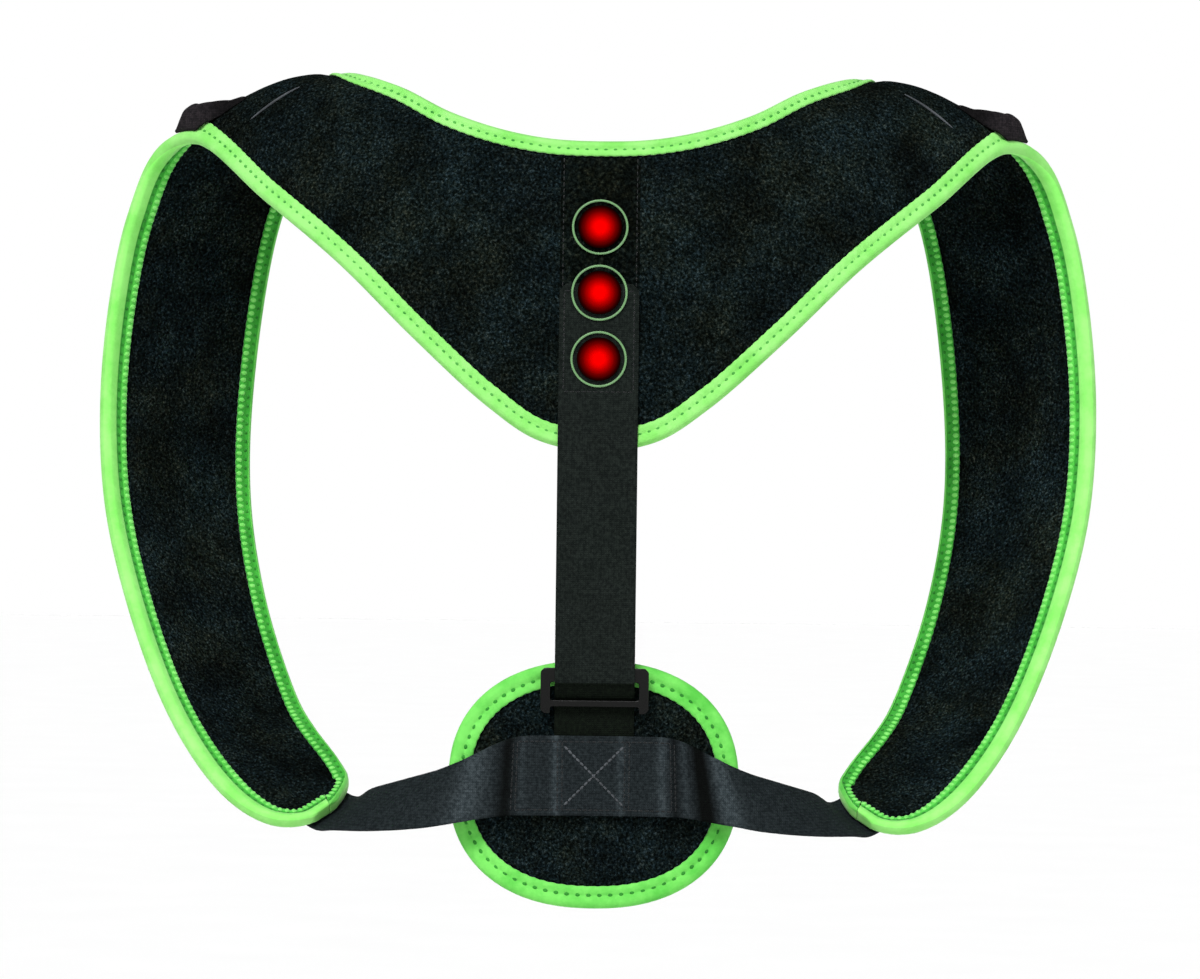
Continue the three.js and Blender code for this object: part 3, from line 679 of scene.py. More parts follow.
def plush(name, dark, light, fleck, grain):
    """Short brushed pile: black, with fine paler grain, soft patches and bluish and brownish places."""
    material, tree, bsdf = shader(name, 0.98, specular=0.02)
    place = object_coordinates(tree)
    patches = noise(tree, place, 38, detail=5, roughness=0.6)
    hue = noise(tree, place, 26, detail=3, roughness=0.6)
    specks = noise(tree, place, 0.8 * grain, detail=0)
    fine = noise(tree, place, grain, detail=4, roughness=0.72)
    colour = ramp(tree, fine, [(0.42, dark), (0.57, light), (0.72, fleck)])
    for factor, stops in (
        (patches, [(0.3, grey(0.35)), (0.5, grey(0.9)), (0.7, grey(1.7))]),
        (hue, [(0.4, (0.88, 0.98, 1.14)), (0.52, grey(1)), (0.62, (1.14, 1, 0.84))]),
        (specks, [(0.4, (0.94, 0.98, 1.02)), (0.5, grey(1)), (0.6, (1.15, 1.02, 0.88))]),
    ):
        colour = times(tree, colour, ramp(tree, factor, stops))
    coloured(tree, bsdf, colour)
    bumped(tree, bsdf, noise(tree, place, 2.3 * grain), 0.25 * MM, strength=0.5)
    return material


def knit(name, shade, light):
    """Knitted tape or thread: a bright colour with fine knit grain and slight unevenness."""
    material, tree, bsdf = shader(name, 0.75, specular=0.25, sheen=0.2, sheen_roughness=0.4)
    place = object_coordinates(tree)
    uneven = noise(tree, place, 60, detail=5, roughness=0.65)
    coloured(tree, bsdf, ramp(tree, uneven, [(0.35, shade), (0.6, light)]))
    bumped(tree, bsdf, noise(tree, place, 700), 0.25 * MM, strength=0.5)
    return material


def woven(name, dark, light, axis):
    """Webbing: fine ribs across the width of the strap, which runs along the given axis, and its yarns.
    A mesh may give each place painted shade or a painted highlight."""
    material, tree, bsdf = shader(name, 0.75, specular=0.05)
    place = object_coordinates(tree)
    waves = {}
    for socket, direction, scale in ((0, axis, 340), (1, {"X": "Z", "Z": "X"}[axis], 260)):
        values = {"bands_direction": direction, "Scale": scale, "Distortion": 0.6, "Detail Scale": 30}
        waves[socket] = add_node(tree, "ShaderNodeTexWave", {"Vector": place}, **values).outputs["Fac"]
    weave = add_node(tree, "ShaderNodeMath", waves, operation="MULTIPLY").outputs[0]
    shade = mixed(tree, noise(tree, place, 120, detail=4, roughness=0.6), dark, light)
    yarn = mixed(tree, weave, grey(0.6), grey(1))
    fine = noise(tree, place, 650, detail=3)
    grain = ramp(tree, fine, [(0.38, (0.6, 0.64, 0.65)), (0.64, (1.45, 1.42, 1.4))])
    # Painted light: an attribute on the mesh darkens places into painted shade and pales others into painted
    # highlights
    painted_light = add_node(tree, "ShaderNodeAttribute", attribute_name="painted_light").outputs["Fac"]
    painted_light_tint = ramp(tree, painted_light, [(0, (0.06, 0.08, 0.06)), (0.5, grey(1)), (1, (2.7, 2.6, 2.6))])
    coloured(tree, bsdf, times(tree, times(tree, times(tree, shade, yarn), grain), painted_light_tint))
    bumped(tree, bsdf, weave, 0.3 * MM, strength=0.7)
    return material


def moulded(name, colour, roughness, specular):
    material, tree, bsdf = shader(name, roughness, specular=specular)
    place = object_coordinates(tree)
    lighter = tuple(1.5 * c for c in colour)
    coloured(tree, bsdf, mixed(tree, noise(tree, place, 150, detail=3), colour, lighter))
    bumped(tree, bsdf, noise(tree, place, 2500), 0.05 * MM, strength=0.3)
    return material


def glowing(name):
    """A red button with a painted glow: it emits light, bright in the middle and fading to black at its rim.
    """
    material, tree, bsdf = shader(name, 0.6, specular=0.0)
    place = tree.nodes.new("ShaderNodeTexCoord").outputs["Generated"]
    centred = add_node(tree, "ShaderNodeVectorMath", {0: place}, operation="SUBTRACT")
    centred.inputs[1].default_value = grey(0.5)
    flat = add_node(tree, "ShaderNodeVectorMath", {0: centred.outputs[0]}, operation="MULTIPLY")
    flat.inputs[1].default_value = (2, 0, 2)
    length = add_node(tree, "ShaderNodeVectorMath", {0: flat.outputs[0]}, operation="LENGTH")
    reds = ((0, 0.66), (0.3, 0.5), (0.52, 0.24), (0.72, 0.08), (0.9, 0.015), (1, 0.003))
    colour = ramp(tree, length.outputs["Value"], [(share, (red, 0, 0)) for share, red in reds])
    coloured(tree, bsdf, colour)
    tree.links.new(colour, bsdf.inputs["Emission Color"])
    bsdf.inputs["Emission Strength"].default_value = 0.4
    return material


CLOTH_LOOK = plush(
    "black_plush", (0.0006, 0.0013, 0.001), (0.0058, 0.0105, 0.0102), (0.036, 0.051, 0.052), grain=780)
PILE_LOOK = plush(
    "loop_pile", (0.0004, 0.0009, 0.0006), (0.0038, 0.006, 0.0048), (0.018, 0.024, 0.019), grain=600)
LIME = knit("lime_tape", (0.18, 0.6, 0.1), (0.27, 0.69, 0.17))
# A brighter copy of the tape: painted light on the armhole binding's inner side
LIME_PAINTED_LIGHT = knit("lime_tape_painted_light", (0.2, 0.74, 0.11), (0.3, 0.85, 0.18))
# A deeper lime: the lumbar binding's own colour, and painted shade on the neck binding's inner side
LIME_RICH_AND_SHADE = knit("lime_tape_rich_and_painted_shade", (0.08, 0.48, 0.05), (0.16, 0.63, 0.1))
LIME_PALE = knit("lime_overlock", (0.12, 0.6, 0.08), (0.22, 0.72, 0.15))
# Darker copies of the tape: painted shade in the stitched grooves and between the overlocked loops
LIME_MID = knit("lime_shaded", (0.05, 0.42, 0.035), (0.1, 0.55, 0.07))
LIME_GROOVE_SHADE = knit("lime_stitch_groove_shade", (0.022, 0.27, 0.018), (0.045, 0.38, 0.035))
LIME_DEEP = knit("lime_groove", (0.006, 0.17, 0.006), (0.018, 0.28, 0.015))
STITCH_GREEN = knit("green_thread", (0.012, 0.17, 0.012), (0.025, 0.26, 0.02))
STITCH_SOFT = knit("soft_green_thread", (0.035, 0.25, 0.03), (0.075, 0.36, 0.055))
GREY_THREAD = knit("grey_thread", (0.035, 0.04, 0.045), (0.07, 0.078, 0.088))
DARK_THREAD = knit("dark_thread", (0.002, 0.003, 0.003), (0.006, 0.008, 0.009))
WEB_DOWN = woven("webbing_down", (0.0075, 0.0108, 0.009), (0.0135, 0.0188, 0.0165), "Z")
# A darker copy of the webbing: painted shade below the slider
WEB_PAINTED_SHADE = woven("webbing_shaded", (0.0024, 0.0046, 0.0024), (0.0046, 0.008, 0.0046), "Z")
WEB_ACROSS = woven("webbing_across", (0.0115, 0.0158, 0.0175), (0.019, 0.026, 0.029), "X")
WEB_TAB = woven("webbing_tab", (0.0076, 0.0067, 0.0076), (0.0148, 0.0128, 0.0146), "X")
PLASTIC = moulded("slider_plastic", (0.002, 0.0022, 0.002), 0.26, 0.16)
PALE_RING = moulded("pale_ring", (0.1, 0.21, 0.085), 0.45, 0.4)
RED = glowing("red_button")

# Each binding's outer side, the groove of its inner stitches, the ground of its loops and its inner side
# The grooves and the ground between the loops are painted shade
BINDING_LOOKS = {
    # Armhole: its inner side is the brighter copy, painted light
    "armhole": [LIME, LIME_GROOVE_SHADE, LIME_MID, LIME_PAINTED_LIGHT],
    # Neck: its inner side is the deeper copy, painted shade
    "neck": [LIME, LIME_GROOVE_SHADE, LIME_GROOVE_SHADE, LIME_RICH_AND_SHADE],
    # Lumbar: the deeper lime is its tape's own colour
    "lumbar": [LIME_RICH_AND_SHADE, LIME_DEEP, LIME_MID, LIME_RICH_AND_SHADE],
}


# Bindings

def tape_profile(binding):
    """Inset, height, how far a stitch pulls it in, how much the edge scallops, and material of each point
    round the folded tape, from the outer lip's edge over the fold to the inner lip's edge and back."""
    low = (binding.half_cloth + TAPE_GAP) / MM
    thick = TAPE / MM
    top = low + thick
    outer, inner = binding.outer / MM, binding.inner / MM
    stitch = outer - binding.stitch_inset / MM
    outer_side = [
        (outer, top - 0.6, 0, 1, 0),
        (outer - 0.5, top - 0.15, 0, 1, 0),
        (max(stitch + 0.8, 0.5 * (stitch + outer)), top, 0.2, 0, 0),
        (stitch + 0.5, top - 0.1, 0.9, 0, 0),
        (stitch, top - 0.2, 1.2, 0, 0),
        (stitch - 0.5, top - 0.1, 0.9, 0, 0),
        (stitch - 1.2, top + 0.2, 0.2, 0, 0),
        (0.55 * stitch, top + 0.45, 0, 0, 0),
        (0.3 * stitch, top + 0.3, 0, 0, 0),
        (1.2, top - 0.25, 0, 0, 0),
        (0.45, top - 0.9, 0, 0, 0),
        (0.05, 0.45 * top, 0, 0, 0),
        (-0.1, 0, 0, 0, 0),
    ]
    inner_side = [
        (0.05, -0.45 * top, 0, 0, 3),
        (0.45, 0.9 - top, 0, 0, 3),
        (1.2, 0.25 - top, 0, 0, 3),
        (0.2 * inner, -top - 0.35, 0, 0, 3),
        (0.24 * inner, -top - 0.3, 0, 0, 3),
        (inner - 6.8, -top, 0, 0, 1),
        (inner - 6.3, 0.5 - top, 0, 0, 1),
        (inner - 4.4, 0.65 - top, 0, 0, 1),
        (inner - 4, 0.35 - top, 0, 0, 2),
        (inner - 0.6, 0.4 - top, 0, 0, 2),
        (inner, 0.8 - top, 0, 1, 2),
    ]
    next_to_cloth = [
        (inner, -low, 0, 1, 0),
        (thick, -low, 0, 0, 0),
        (thick, low, 0, 0, 0),
        (outer, low, 0, 1, 0),
    ]
    rows = outer_side + inner_side + next_to_cloth
    return [(inset * MM, height * MM, *rest) for inset, height, *rest in rows]


def tape_loops(profile, trim, pitch):
    """Loops of the tape's section, one for each place along it."""
    arc = arc_lengths(trim.line(0.0, 0.0)[0])
    phase = 0.5 + 0.5 * np.cos(2 * math.pi * arc / pitch)
    columns = []
    for inset, height, pull, scallop, _ in profile:
        depth = STITCH_PULL * pull * phase
        reach = inset * (trim.taper if height < 0 else 1) - EDGE_SCALLOP * scallop * phase
        columns.append(trim.line(reach, height - depth)[0])
    return np.stack(columns, axis=1)


class PadTrim:
    """The lumbar pad's binding: turns an inset into places all round it."""

    closed = True
    taper = 1

    def __init__(self):
        self.angles = (np.arange(PAD_TRIM_STEPS) + 0.5) / PAD_TRIM_STEPS * 2 * math.pi

    def line(self, inset, height):
        x, rise = pad_outline(self.angles, inset)
        return off_pad(x, rise, height), pad_normal(x, rise)


def folded_tape(name, trim):
    binding = BINDINGS[name]
    profile = tape_profile(binding)
    right = tape_loops(profile, trim, binding.pitch)
    loops = right if trim.closed else both_halves(right)
    rows, around = loops.shape[:2]
    faces = tube_faces(rows, around, trim.closed)
    looks = [row[-1] for row in profile] * (rows if trim.closed else rows - 1)
    looks += [0] * (len(faces) - len(looks))
    piece = make_piece(
        f"{name}_binding_tape", loops, faces, BINDING_LOOKS[name], f"{name}_binding", looks)


def sewn_line(trim, inset, height, pitch, size, side=1):
    points, normals = trim.line(inset * (trim.taper if side < 0 else 1), height)
    places = spaced(points, side * normals, pitch, trim.closed)
    if not trim.closed:
        places = [np.concatenate([right, mirrored(right)]) for right in places]
    return domes(*places, size)


def trim_stitches(name, trim):
    """Stitches on both faces of a binding, sunk in the tape."""
    binding = BINDINGS[name]
    top = binding.half_cloth + TAPE_GAP + TAPE
    size = PAD_STITCH if trim.closed else TRIM_STITCH
    outer_place = (binding.outer - binding.stitch_inset, top - STITCH_SINK["outer"])
    inner_place = (binding.inner - INNER_STITCH_INSET, STITCH_SINK["inner"] - top)
    outer = sewn_line(trim, *outer_place, binding.pitch, size)
    inner = sewn_line(trim, *inner_place, binding.pitch, size, -1)
    points, faces = joined([outer, inner])
    looks = [0] * len(outer[1]) + [1] * len(inner[1])
    threads = [STITCH_GREEN if trim.closed else STITCH_SOFT, STITCH_GREEN]
    make_piece(f"{name}_stitches", points, faces, threads, face_materials=looks)


def trim_loops(name, trim):
    """The overlocked loops along the inner lip's edge."""
    binding = BINDINGS[name]
    height = LOOP_SINK - (binding.half_cloth + TAPE_GAP + TAPE)
    points, faces = sewn_line(trim, binding.inner - LOOP_INSET, height, LOOP_PITCH, OVERLOCK_LOOP, -1)
    make_piece(f"{name}_overlock", points, faces, [LIME_PALE])


# Cloth panels

def panel_places(rows, across):
    """Places (s, t) of a grid over the ribbon between both bindings, for rows on the right half."""
    inset = TAPE + TAPE_GAP
    arm_s, arm_t = side_place("arm", rows, inset)
    neck_s, neck_t = side_place("neck", partner_row("arm", rows), inset)
    share = np.linspace(0, 1, across + 1)
    s = arm_s[:, None] + (neck_s - arm_s)[:, None] * share
    t = arm_t[:, None] + (neck_t - arm_t)[:, None] * share
    return s, t


def end_places(across):
    """Places of the grid's last rows, round the corners of a strap's end."""
    inset = TAPE + TAPE_GAP
    share = np.linspace(0, 1, across + 1)
    angles = np.linspace(0, math.pi / 2, CORNER_STEPS)[1:, None]
    arm_s, arm_t = corner_place("arm", angles, inset)
    neck_s, neck_t = corner_place("neck", angles, inset)
    return lerp(arm_s, neck_s, share), lerp(arm_t, neck_t, share)


def puff(s, t, side):
    """How far the cloth swells on its outer or inner side, beyond the bindings' edges."""
    width = np.linalg.norm(on_edge("neck", s) - on_edge("arm", s), axis=-1)
    from_arm = t * width - getattr(BINDINGS["armhole"], side)
    from_neck = (1 - t) * width - getattr(BINDINGS["neck"], side)
    return CLOTH_PUFF * smooth(0, PUFF_RIM, from_arm) * smooth(0, PUFF_RIM, from_neck)


CELLS_ROUND = [(-1, -1), (-1, 0), (-1, 1), (0, 1), (1, 1), (1, 0), (1, -1), (0, -1)]


def pit(surface, i, j, normal, outline, start):
    """Rings of a pit's lip, wall and floor at a grid point, and faces from the grid points round it down."""
    centre = surface[i, j]
    spokes = unit(np.array([surface[i + a, j + b] for a, b in CELLS_ROUND]) - centre)
    points = [centre + spokes * radius - normal * depth for radius, depth in zip(PIT_RADII, PIT_DEPTHS)]
    count = len(outline)
    rings = [outline] + [[start + count * r + k for k in range(count)] for r in range(len(points))]
    faces = []
    for low, high in zip(rings, rings[1:]):
        faces += [[low[k], low[(k + 1) % count], high[(k + 1) % count], high[k]] for k in range(count)]
    return points, faces + [rings[-1]]


def panel_solid(s, t, holes):
    """Both faces of a cloth panel over a grid of places, joined round the rim, with shallow round pits."""
    rows, cols = s.shape
    outer = off_ribbon(s, t, HALF_CLOTH + puff(s, t, "outer"))
    inner = off_ribbon(s, t, -HALF_CLOTH - puff(s, t, "inner"))
    points = [outer.reshape(-1, 3), inner.reshape(-1, 3)]
    total = rows * cols
    faces = []
    open_cells = np.zeros((rows - 1, cols - 1), bool)
    for i, j in holes:
        open_cells[i - 1:i + 1, j - 1:j + 1] = True
    for f, (i, j) in zip(grid_faces(rows, cols), np.ndindex(rows - 1, cols - 1)):
        if not open_cells[i, j]:
            faces.append(list(f))
            faces.append([int(v) + total for v in f[::-1]])
    rim = [i * cols for i in range(rows)]
    rim += [(rows - 1) * cols + j for j in range(1, cols)]
    rim += [i * cols + cols - 1 for i in range(rows - 2, -1, -1)]
    rim += list(range(cols - 2, 0, -1))
    faces += [[a, b, b + total, a + total] for a, b in zip(rim, rim[1:] + rim[:1])]
    start = 2 * total
    normals = ribbon_normal(s, t)
    for i, j in holes:
        for normal, surface, offset in ((normals[i, j], outer, 0), (-normals[i, j], inner, total)):
            outline = [offset + (i + a) * cols + j + b for a, b in CELLS_ROUND]
            rings, ring_faces = pit(surface, i, j, normal, outline, start)
            points += rings
            faces += ring_faces
            start += len(rings) * len(outline)
    return np.concatenate(points), faces


def pit_places(rows, cols):
    """Every few grid points, in staggered lines, away from the rim."""
    places = []
    for line, i in enumerate(range(PIT_MARGIN, rows - PIT_MARGIN, PIT_EVERY)):
        first = PIT_MARGIN + (line % 2) * (PIT_EVERY // 2)
        places += [(i, j) for j in range(first, cols - PIT_MARGIN, PIT_EVERY)]
    return places


def rows_between(low, high):
    rows = even_rows("arm", PANEL_STEP)
    inside = rows[(rows > low + SMALL_STEP) & (rows < high - SMALL_STEP)]
    return np.concatenate([[low], inside, [high]])


def seam_gap_rows(side):
    speed = np.linalg.norm(slope(lambda x: on_edge("arm", x), np.array([SEAM_ROW])))
    return SEAM_ROW + side * GAP / speed


def back_yoke():
    """The plain panel between both shoulder seams."""
    rows = rows_between(0, seam_gap_rows(-1))
    s, t = panel_places(rows, YOKE_CELLS)
    s = np.concatenate([-s[:0:-1], s])
    t = np.concatenate([t[:0:-1], t])
    points, faces = panel_solid(s, t, [])
    piece = make_piece("yoke_cloth", points, faces, [CLOTH_LOOK], "back_yoke")


def shoulder_strap(end, name):
    """The pitted panel from a shoulder seam to the strap's rounded end. end is 1 right and -1 left."""
    rows = rows_between(seam_gap_rows(1), LAST_ROW["arm"])
    s, t = panel_places(rows, STRAP_CELLS)
    tip_s, tip_t = end_places(STRAP_CELLS)
    s, t = np.concatenate([s, tip_s]), np.concatenate([t, tip_t])
    points, faces = panel_solid(s, t, pit_places(len(rows), STRAP_CELLS + 1))
    node = f"shoulder_strap_{name}"
    piece = make_piece(f"strap_cloth_{name}", points * [end, 1, 1], faces, [CLOTH_LOOK], node)


def shoulder_seam(end, name):
    """A fine raised seam where the yoke is joined to the strap."""
    t = np.linspace(*SEAM_SPAN, SEAM_STEPS)
    s = np.full(t.shape, SEAM_ROW)
    radius = SEAM_RADIUS * np.sin(np.linspace(0, math.pi, SEAM_STEPS)) ** 0.4
    middle = off_ribbon(s, t, HALF_CLOTH + CLOTH_PUFF + SEAM_RISE)
    out = ribbon_normal(s, t)
    along = unit(np.gradient(middle, axis=0))
    side = np.cross(out, along)
    turns = np.linspace(0, 2 * math.pi, 11)[:-1]
    circle = side[:, None] * np.cos(turns)[:, None] + out[:, None] * np.sin(turns)[:, None]
    loops = (middle[:, None] + circle * radius[:, None, None]) * [end, 1, 1]
    make_piece(f"shoulder_seam_{name}", loops, tube_faces(*loops.shape[:2]), [GREY_THREAD])


# Centre strip

def on_yoke(x, z):
    """Places (s, t) of the yoke's surface at x and z, found by steps along its slopes."""
    x, z = np.broadcast_arrays(np.asarray(x, float), np.asarray(z, float))
    s = x / YOKE_ROW
    t = np.full(x.shape, 0.5)
    for _ in range(YOKE_ROUNDS):
        here = ribbon(s, t)
        along, across = ribbon_slopes(s, t)
        scale = along[..., 0] * across[..., 2] - along[..., 2] * across[..., 0]
        miss_x, miss_z = x - here[..., 0], z - here[..., 2]
        s = s + (miss_x * across[..., 2] - miss_z * across[..., 0]) / scale
        t = t + (along[..., 0] * miss_z - along[..., 2] * miss_x) / scale
    return s, t


def centre_strip():
    """The pile strip on the yoke, thinner at its selvedges, and the seam down both sides."""
    low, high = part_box("centre_strip")
    half = WEB_WIDTH / 2
    z = np.linspace(high.z - STRIP_SHORT, low.z + STRIP_SHORT, STRIP_STEPS[0])
    x = np.linspace(-half, half, STRIP_STEPS[1])
    gx, gz = np.meshgrid(x, z)
    s, t = on_yoke(gx, gz)
    edge = smooth(0, STRIP_EDGE, half - np.abs(gx))
    top = off_ribbon(s, t, ON_CLOTH + STRIP * (0.35 + 0.65 * edge))
    base = off_ribbon(s, t, ON_CLOTH)
    loops = np.concatenate([top, base[:, ::-1]], axis=1)
    faces = tube_faces(len(z), loops.shape[1])
    piece = make_piece("centre_strip_pile", loops, faces, [PILE_LOOK], "centre_strip")
    parts = []
    for side in (-1, 1):
        line_s, line_t = on_yoke(side * (half - STRIP_SEAM_INSET), np.linspace(z[0], z[-1], LINE_STEPS))
        line = off_ribbon(line_s, line_t, ON_CLOTH + STRIP - STRIP_STITCH_SINK)
        parts.append(domes(*spaced(line, ribbon_normal(line_s, line_t), STRIP_SEAM_PITCH), STRIP_STITCH))
    sewn_piece("centre_strip_stitches", parts, DARK_THREAD)


# Lumbar pad

YOKE_FOOT = on_edge("arm", np.array(0.0))
SPINE_TOP = YOKE_FOOT[2] + SPINE_LAP
UNDER_SPINE = max(ON_CLOTH + STRIP + GAP, ON_TAPE)
PAD_TOP = YOKE_FOOT[2] - PAD_HANG
PAD_HEIGHT = PAD_TOP - PAD_HALF_HEIGHT
PAD_BACK = YOKE_FOOT[1] + PAD_FORWARD
PAD_FACE = PAD_BACK - PAD_CLOTH / 2
BAND_HEIGHT = PAD_HEIGHT + BAND_RISE


def pad_normal(x, rise):
    slope_x = 2 * PAD_WRAP * x / PAD_HALF_WIDTH**2
    slope_z = 2 * PAD_DISH * rise / PAD_HALF_HEIGHT**2
    return unit(np.stack([slope_x, -np.ones_like(slope_x), slope_z], axis=-1))


def off_pad(x, rise, height):
    x, rise = np.broadcast_arrays(np.asarray(x, float), np.asarray(rise, float))
    y = PAD_BACK + PAD_WRAP * (x / PAD_HALF_WIDTH) ** 2 + PAD_DISH * (rise / PAD_HALF_HEIGHT) ** 2
    place = np.stack([x, y, PAD_HEIGHT + rise], axis=-1)
    return place + pad_normal(x, rise) * np.asarray(height, float)[..., None]


def pad_outline(angle, inset):
    power = 2 / PAD_SQUARENESS
    cos, sin = np.cos(angle), np.sin(angle)
    x = PAD_HALF_WIDTH * np.sign(cos) * np.abs(cos) ** power
    rise = PAD_HALF_HEIGHT * np.sign(sin) * np.abs(sin) ** power
    nx = np.sign(x) * np.abs(x / PAD_HALF_WIDTH) ** (PAD_SQUARENESS - 1) / PAD_HALF_WIDTH
    nz = np.sign(rise) * np.abs(rise / PAD_HALF_HEIGHT) ** (PAD_SQUARENESS - 1) / PAD_HALF_HEIGHT
    length = np.hypot(nx, nz)
    return x - inset * nx / length, rise - inset * nz / length


def inside_rim(share):
    return smooth(0, PAD_RIM, PAD_RIM_END - share)


def pad_hold(x, rise, share):
    """How firmly each place of the pad is held: by its binding, and under the spine strap and the band."""
    free_of_band = smooth(0, PAD_EASE, np.abs(rise - BAND_RISE) - WEB_WIDTH / 2 - BAND_MARGIN)
    beside_strap = smooth(0, PAD_EASE, np.abs(x) - WEB_WIDTH / 2 - SPINE_MARGIN)
    return 1 - inside_rim(share) * free_of_band * np.where(rise > BAND_RISE, beside_strap, 1)


def swell(piece, hold, cap):
    """Pressure inside the pad swells its cloth where it isn't held, and no point moves further than cap."""
    mesh = piece.data
    start = coordinates(mesh)
    group = piece.vertex_groups.new(name="held")
    for index, weight in enumerate(hold.ravel().tolist()):
        group.add([index], weight, "REPLACE")
    cloth = piece.modifiers.new("cloth", "CLOTH")
    cloth.settings.vertex_group_mass = "held"
    cloth.settings.pin_stiffness = PIN_STIFFNESS
    cloth.settings.use_pressure = True
    cloth.settings.uniform_pressure_force = PAD_PRESSURE
    cloth.settings.effector_weights.gravity = 0
    cloth.settings.quality = CLOTH_QUALITY
    scene = bpy.context.scene
    for number in range(1, SWELL_FRAMES + 1):
        scene.frame_set(number)
    swollen = evaluated_mesh(piece)
    way = coordinates(swollen) - start
    length = np.linalg.norm(way, axis=1, keepdims=True)
    way = way * (cap * np.tanh(length / cap) / np.maximum(length, 1e-9)) * (1 - hold.reshape(-1, 1))
    piece.modifiers.clear()
    piece.vertex_groups.clear()
    mesh.vertices.foreach_set("co", (start + way).ravel())
    mesh.update()
    bpy.data.meshes.remove(swollen)
    scene.frame_set(1)


def lumbar_pad():
    share = np.concatenate([[1], np.linspace(0.97, 0.04, PAD_RINGS)])[:, None]
    angles = (np.arange(PAD_SPOKES) + 0.5) / PAD_SPOKES * 2 * math.pi
    x, rise = (share * way for way in pad_outline(angles, TAPE + TAPE_GAP))
    thick = np.where(share == 1, 0.8, 1.0) * PAD_CLOTH / 2
    hold = pad_hold(x, rise, share)
    outer = off_pad(x, rise, thick + PAD_CROWN * (1 - hold))
    inner = off_pad(x, rise, -thick - PAD_CROWN * inside_rim(share))
    rings = np.concatenate([inner[::-1], outer])
    faces = tube_faces(len(rings), len(angles))
    piece = make_piece("lumbar_pad_cushion", rings, faces, [CLOTH_LOOK], "lumbar_pad")
    rim_hold = np.broadcast_to(1 - inside_rim(share[::-1]), hold.shape)
    swell(piece, np.concatenate([rim_hold, hold]), PAD_SWELL)


# Webbing

def set_painted_light(piece, values):
    """How much painted light each point gets: 0 is painted shade, 0.5 is plain, 1 is a painted highlight."""
    attribute = piece.data.attributes.new("painted_light", "FLOAT", "POINT")
    attribute.data.foreach_set("value", np.asarray(values, np.float32).ravel())


def web_loops(middles, across, out, width, thickness):
    """Loops of a webbing's section with rounded, slightly thicker selvedges. width may change along it."""
    half = np.broadcast_to(np.asarray(width, float) / 2, (len(middles),))[:, None]
    share = np.array([-1, -0.985, -0.94, -0.9, -0.6, -0.3, 0, 0.3, 0.6, 0.9, 0.94, 0.985, 1])
    thick = np.array([0.3, 0.85, 1.08, 1, 1, 1, 1, 1, 1, 1, 1.08, 0.85, 0.3]) * thickness / 2
    offset = half * share
    centre = middles[:, None] + across[:, None] * offset[..., None]
    rise = out[:, None] * thick[:, None]
    return np.concatenate([centre + rise, (centre - rise)[:, ::-1]], axis=1)


def web_stitches(points, normals, size=WEB_STITCH):
    return domes(*spaced(points, normals, WEB_STITCH_PITCH), size)


def furthest_out(z, height):
    x = np.linspace(-0.5, 0.5, 5) * WEB_WIDTH
    s, t = on_yoke(x[None, :], z[:, None])
    return off_ribbon(s, t, np.full(s.shape, height))[..., 1].min(axis=1)


def spine_path():
    """The spine strap's middle line as the solid has it: over the yoke, over the slider's upper bar, through
    its window and on behind the lower bar to under the band."""
    half = WEB / 2
    slider_low, slider_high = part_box("slider_buckle")
    over_bar = slider_low.y - GAP - half
    behind_bar = slider_high.y + GAP + half
    window_top = slider_high.z - SLIDER_BAR_TOP
    window_low = window_top - SLIDER_WINDOW
    bend = SLIDER_WINDOW / 6
    z = np.linspace(SPINE_TOP, YOKE_FOOT[2], 10)
    path = list(zip(furthest_out(z, UNDER_SPINE + half), z))
    yoke_end = path[-1][0]
    for share in (0.25, 0.5, 0.75, 1):
        path.append((lerp(yoke_end, over_bar, share), lerp(YOKE_FOOT[2], slider_high.z, share)))
    path.append((over_bar, window_top))
    path.append((lerp(over_bar, behind_bar, 0.25), window_top - bend))
    path.append((lerp(over_bar, behind_bar, 0.75), window_low + bend))
    path.append((behind_bar, window_low))
    tuck_end = BAND_HEIGHT + WEB_WIDTH / 2 - SPINE_TUCK
    for z_low in np.linspace(window_low - SLIDER_BAR_LOW, tuck_end, 5):
        rise = z_low - PAD_HEIGHT
        path.append((off_pad(0.0, rise, PAD_CLOTH / 2 + GAP + half)[1], z_low))
    return np.array([(0, y, z) for y, z in path])


def spine_strap():
    """The spine strap, slanted at its upper corners and with painted shade below the slider, and its stitched
    box.
    """
    control = spine_path()
    u = np.concatenate([[0, 0.02, 0.06, 0.12, 0.2, 0.3], np.linspace(0.4, len(control) - 1, SPINE_STEPS)])
    middles = catmull_rom(control, u)
    along = unit(np.gradient(middles, axis=0))
    across = np.tile([1.0, 0, 0], (len(u), 1))
    out = unit(np.cross(along, across))
    from_top = arc_lengths(middles)
    width = WEB_WIDTH - 2 * SPINE_CORNER * (1 - np.clip(from_top / SPINE_CORNER, 0, 1))
    loops = web_loops(middles, across, out, width, WEB)
    faces = tube_faces(*loops.shape[:2])
    # Painted shade: the webbing below the top of the slider's window gets the darker copy
    shaded = middles[:, 2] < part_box("slider_buckle")[1].z - SLIDER_BAR_TOP
    looks = np.append(np.repeat(shaded[:-1], loops.shape[1]), [False, True])
    piece = make_piece(
        "spine_webbing", loops, faces, [WEB_DOWN, WEB_PAINTED_SHADE], "spine_strap", looks)
    set_painted_light(piece, np.full(loops.shape[:2], 0.5))
    face = middles + out * (WEB / 2)
    half = WEB_WIDTH / 2 - SPINE_SEAM_INSET
    run = slice(*np.searchsorted(from_top, (SPINE_SEAM_START, SPINE_BOX[1])))
    parts = [web_stitches(face[run] + across[run] * x, out[run]) for x in (-half, half)]
    for k in np.searchsorted(from_top, SPINE_BOX):
        line = face[k] + np.linspace(-half, half, 30)[:, None] * across[k]
        parts.append(web_stitches(line, np.tile(out[k], (30, 1))))
    sewn_piece("spine_stitches", parts, DARK_THREAD)


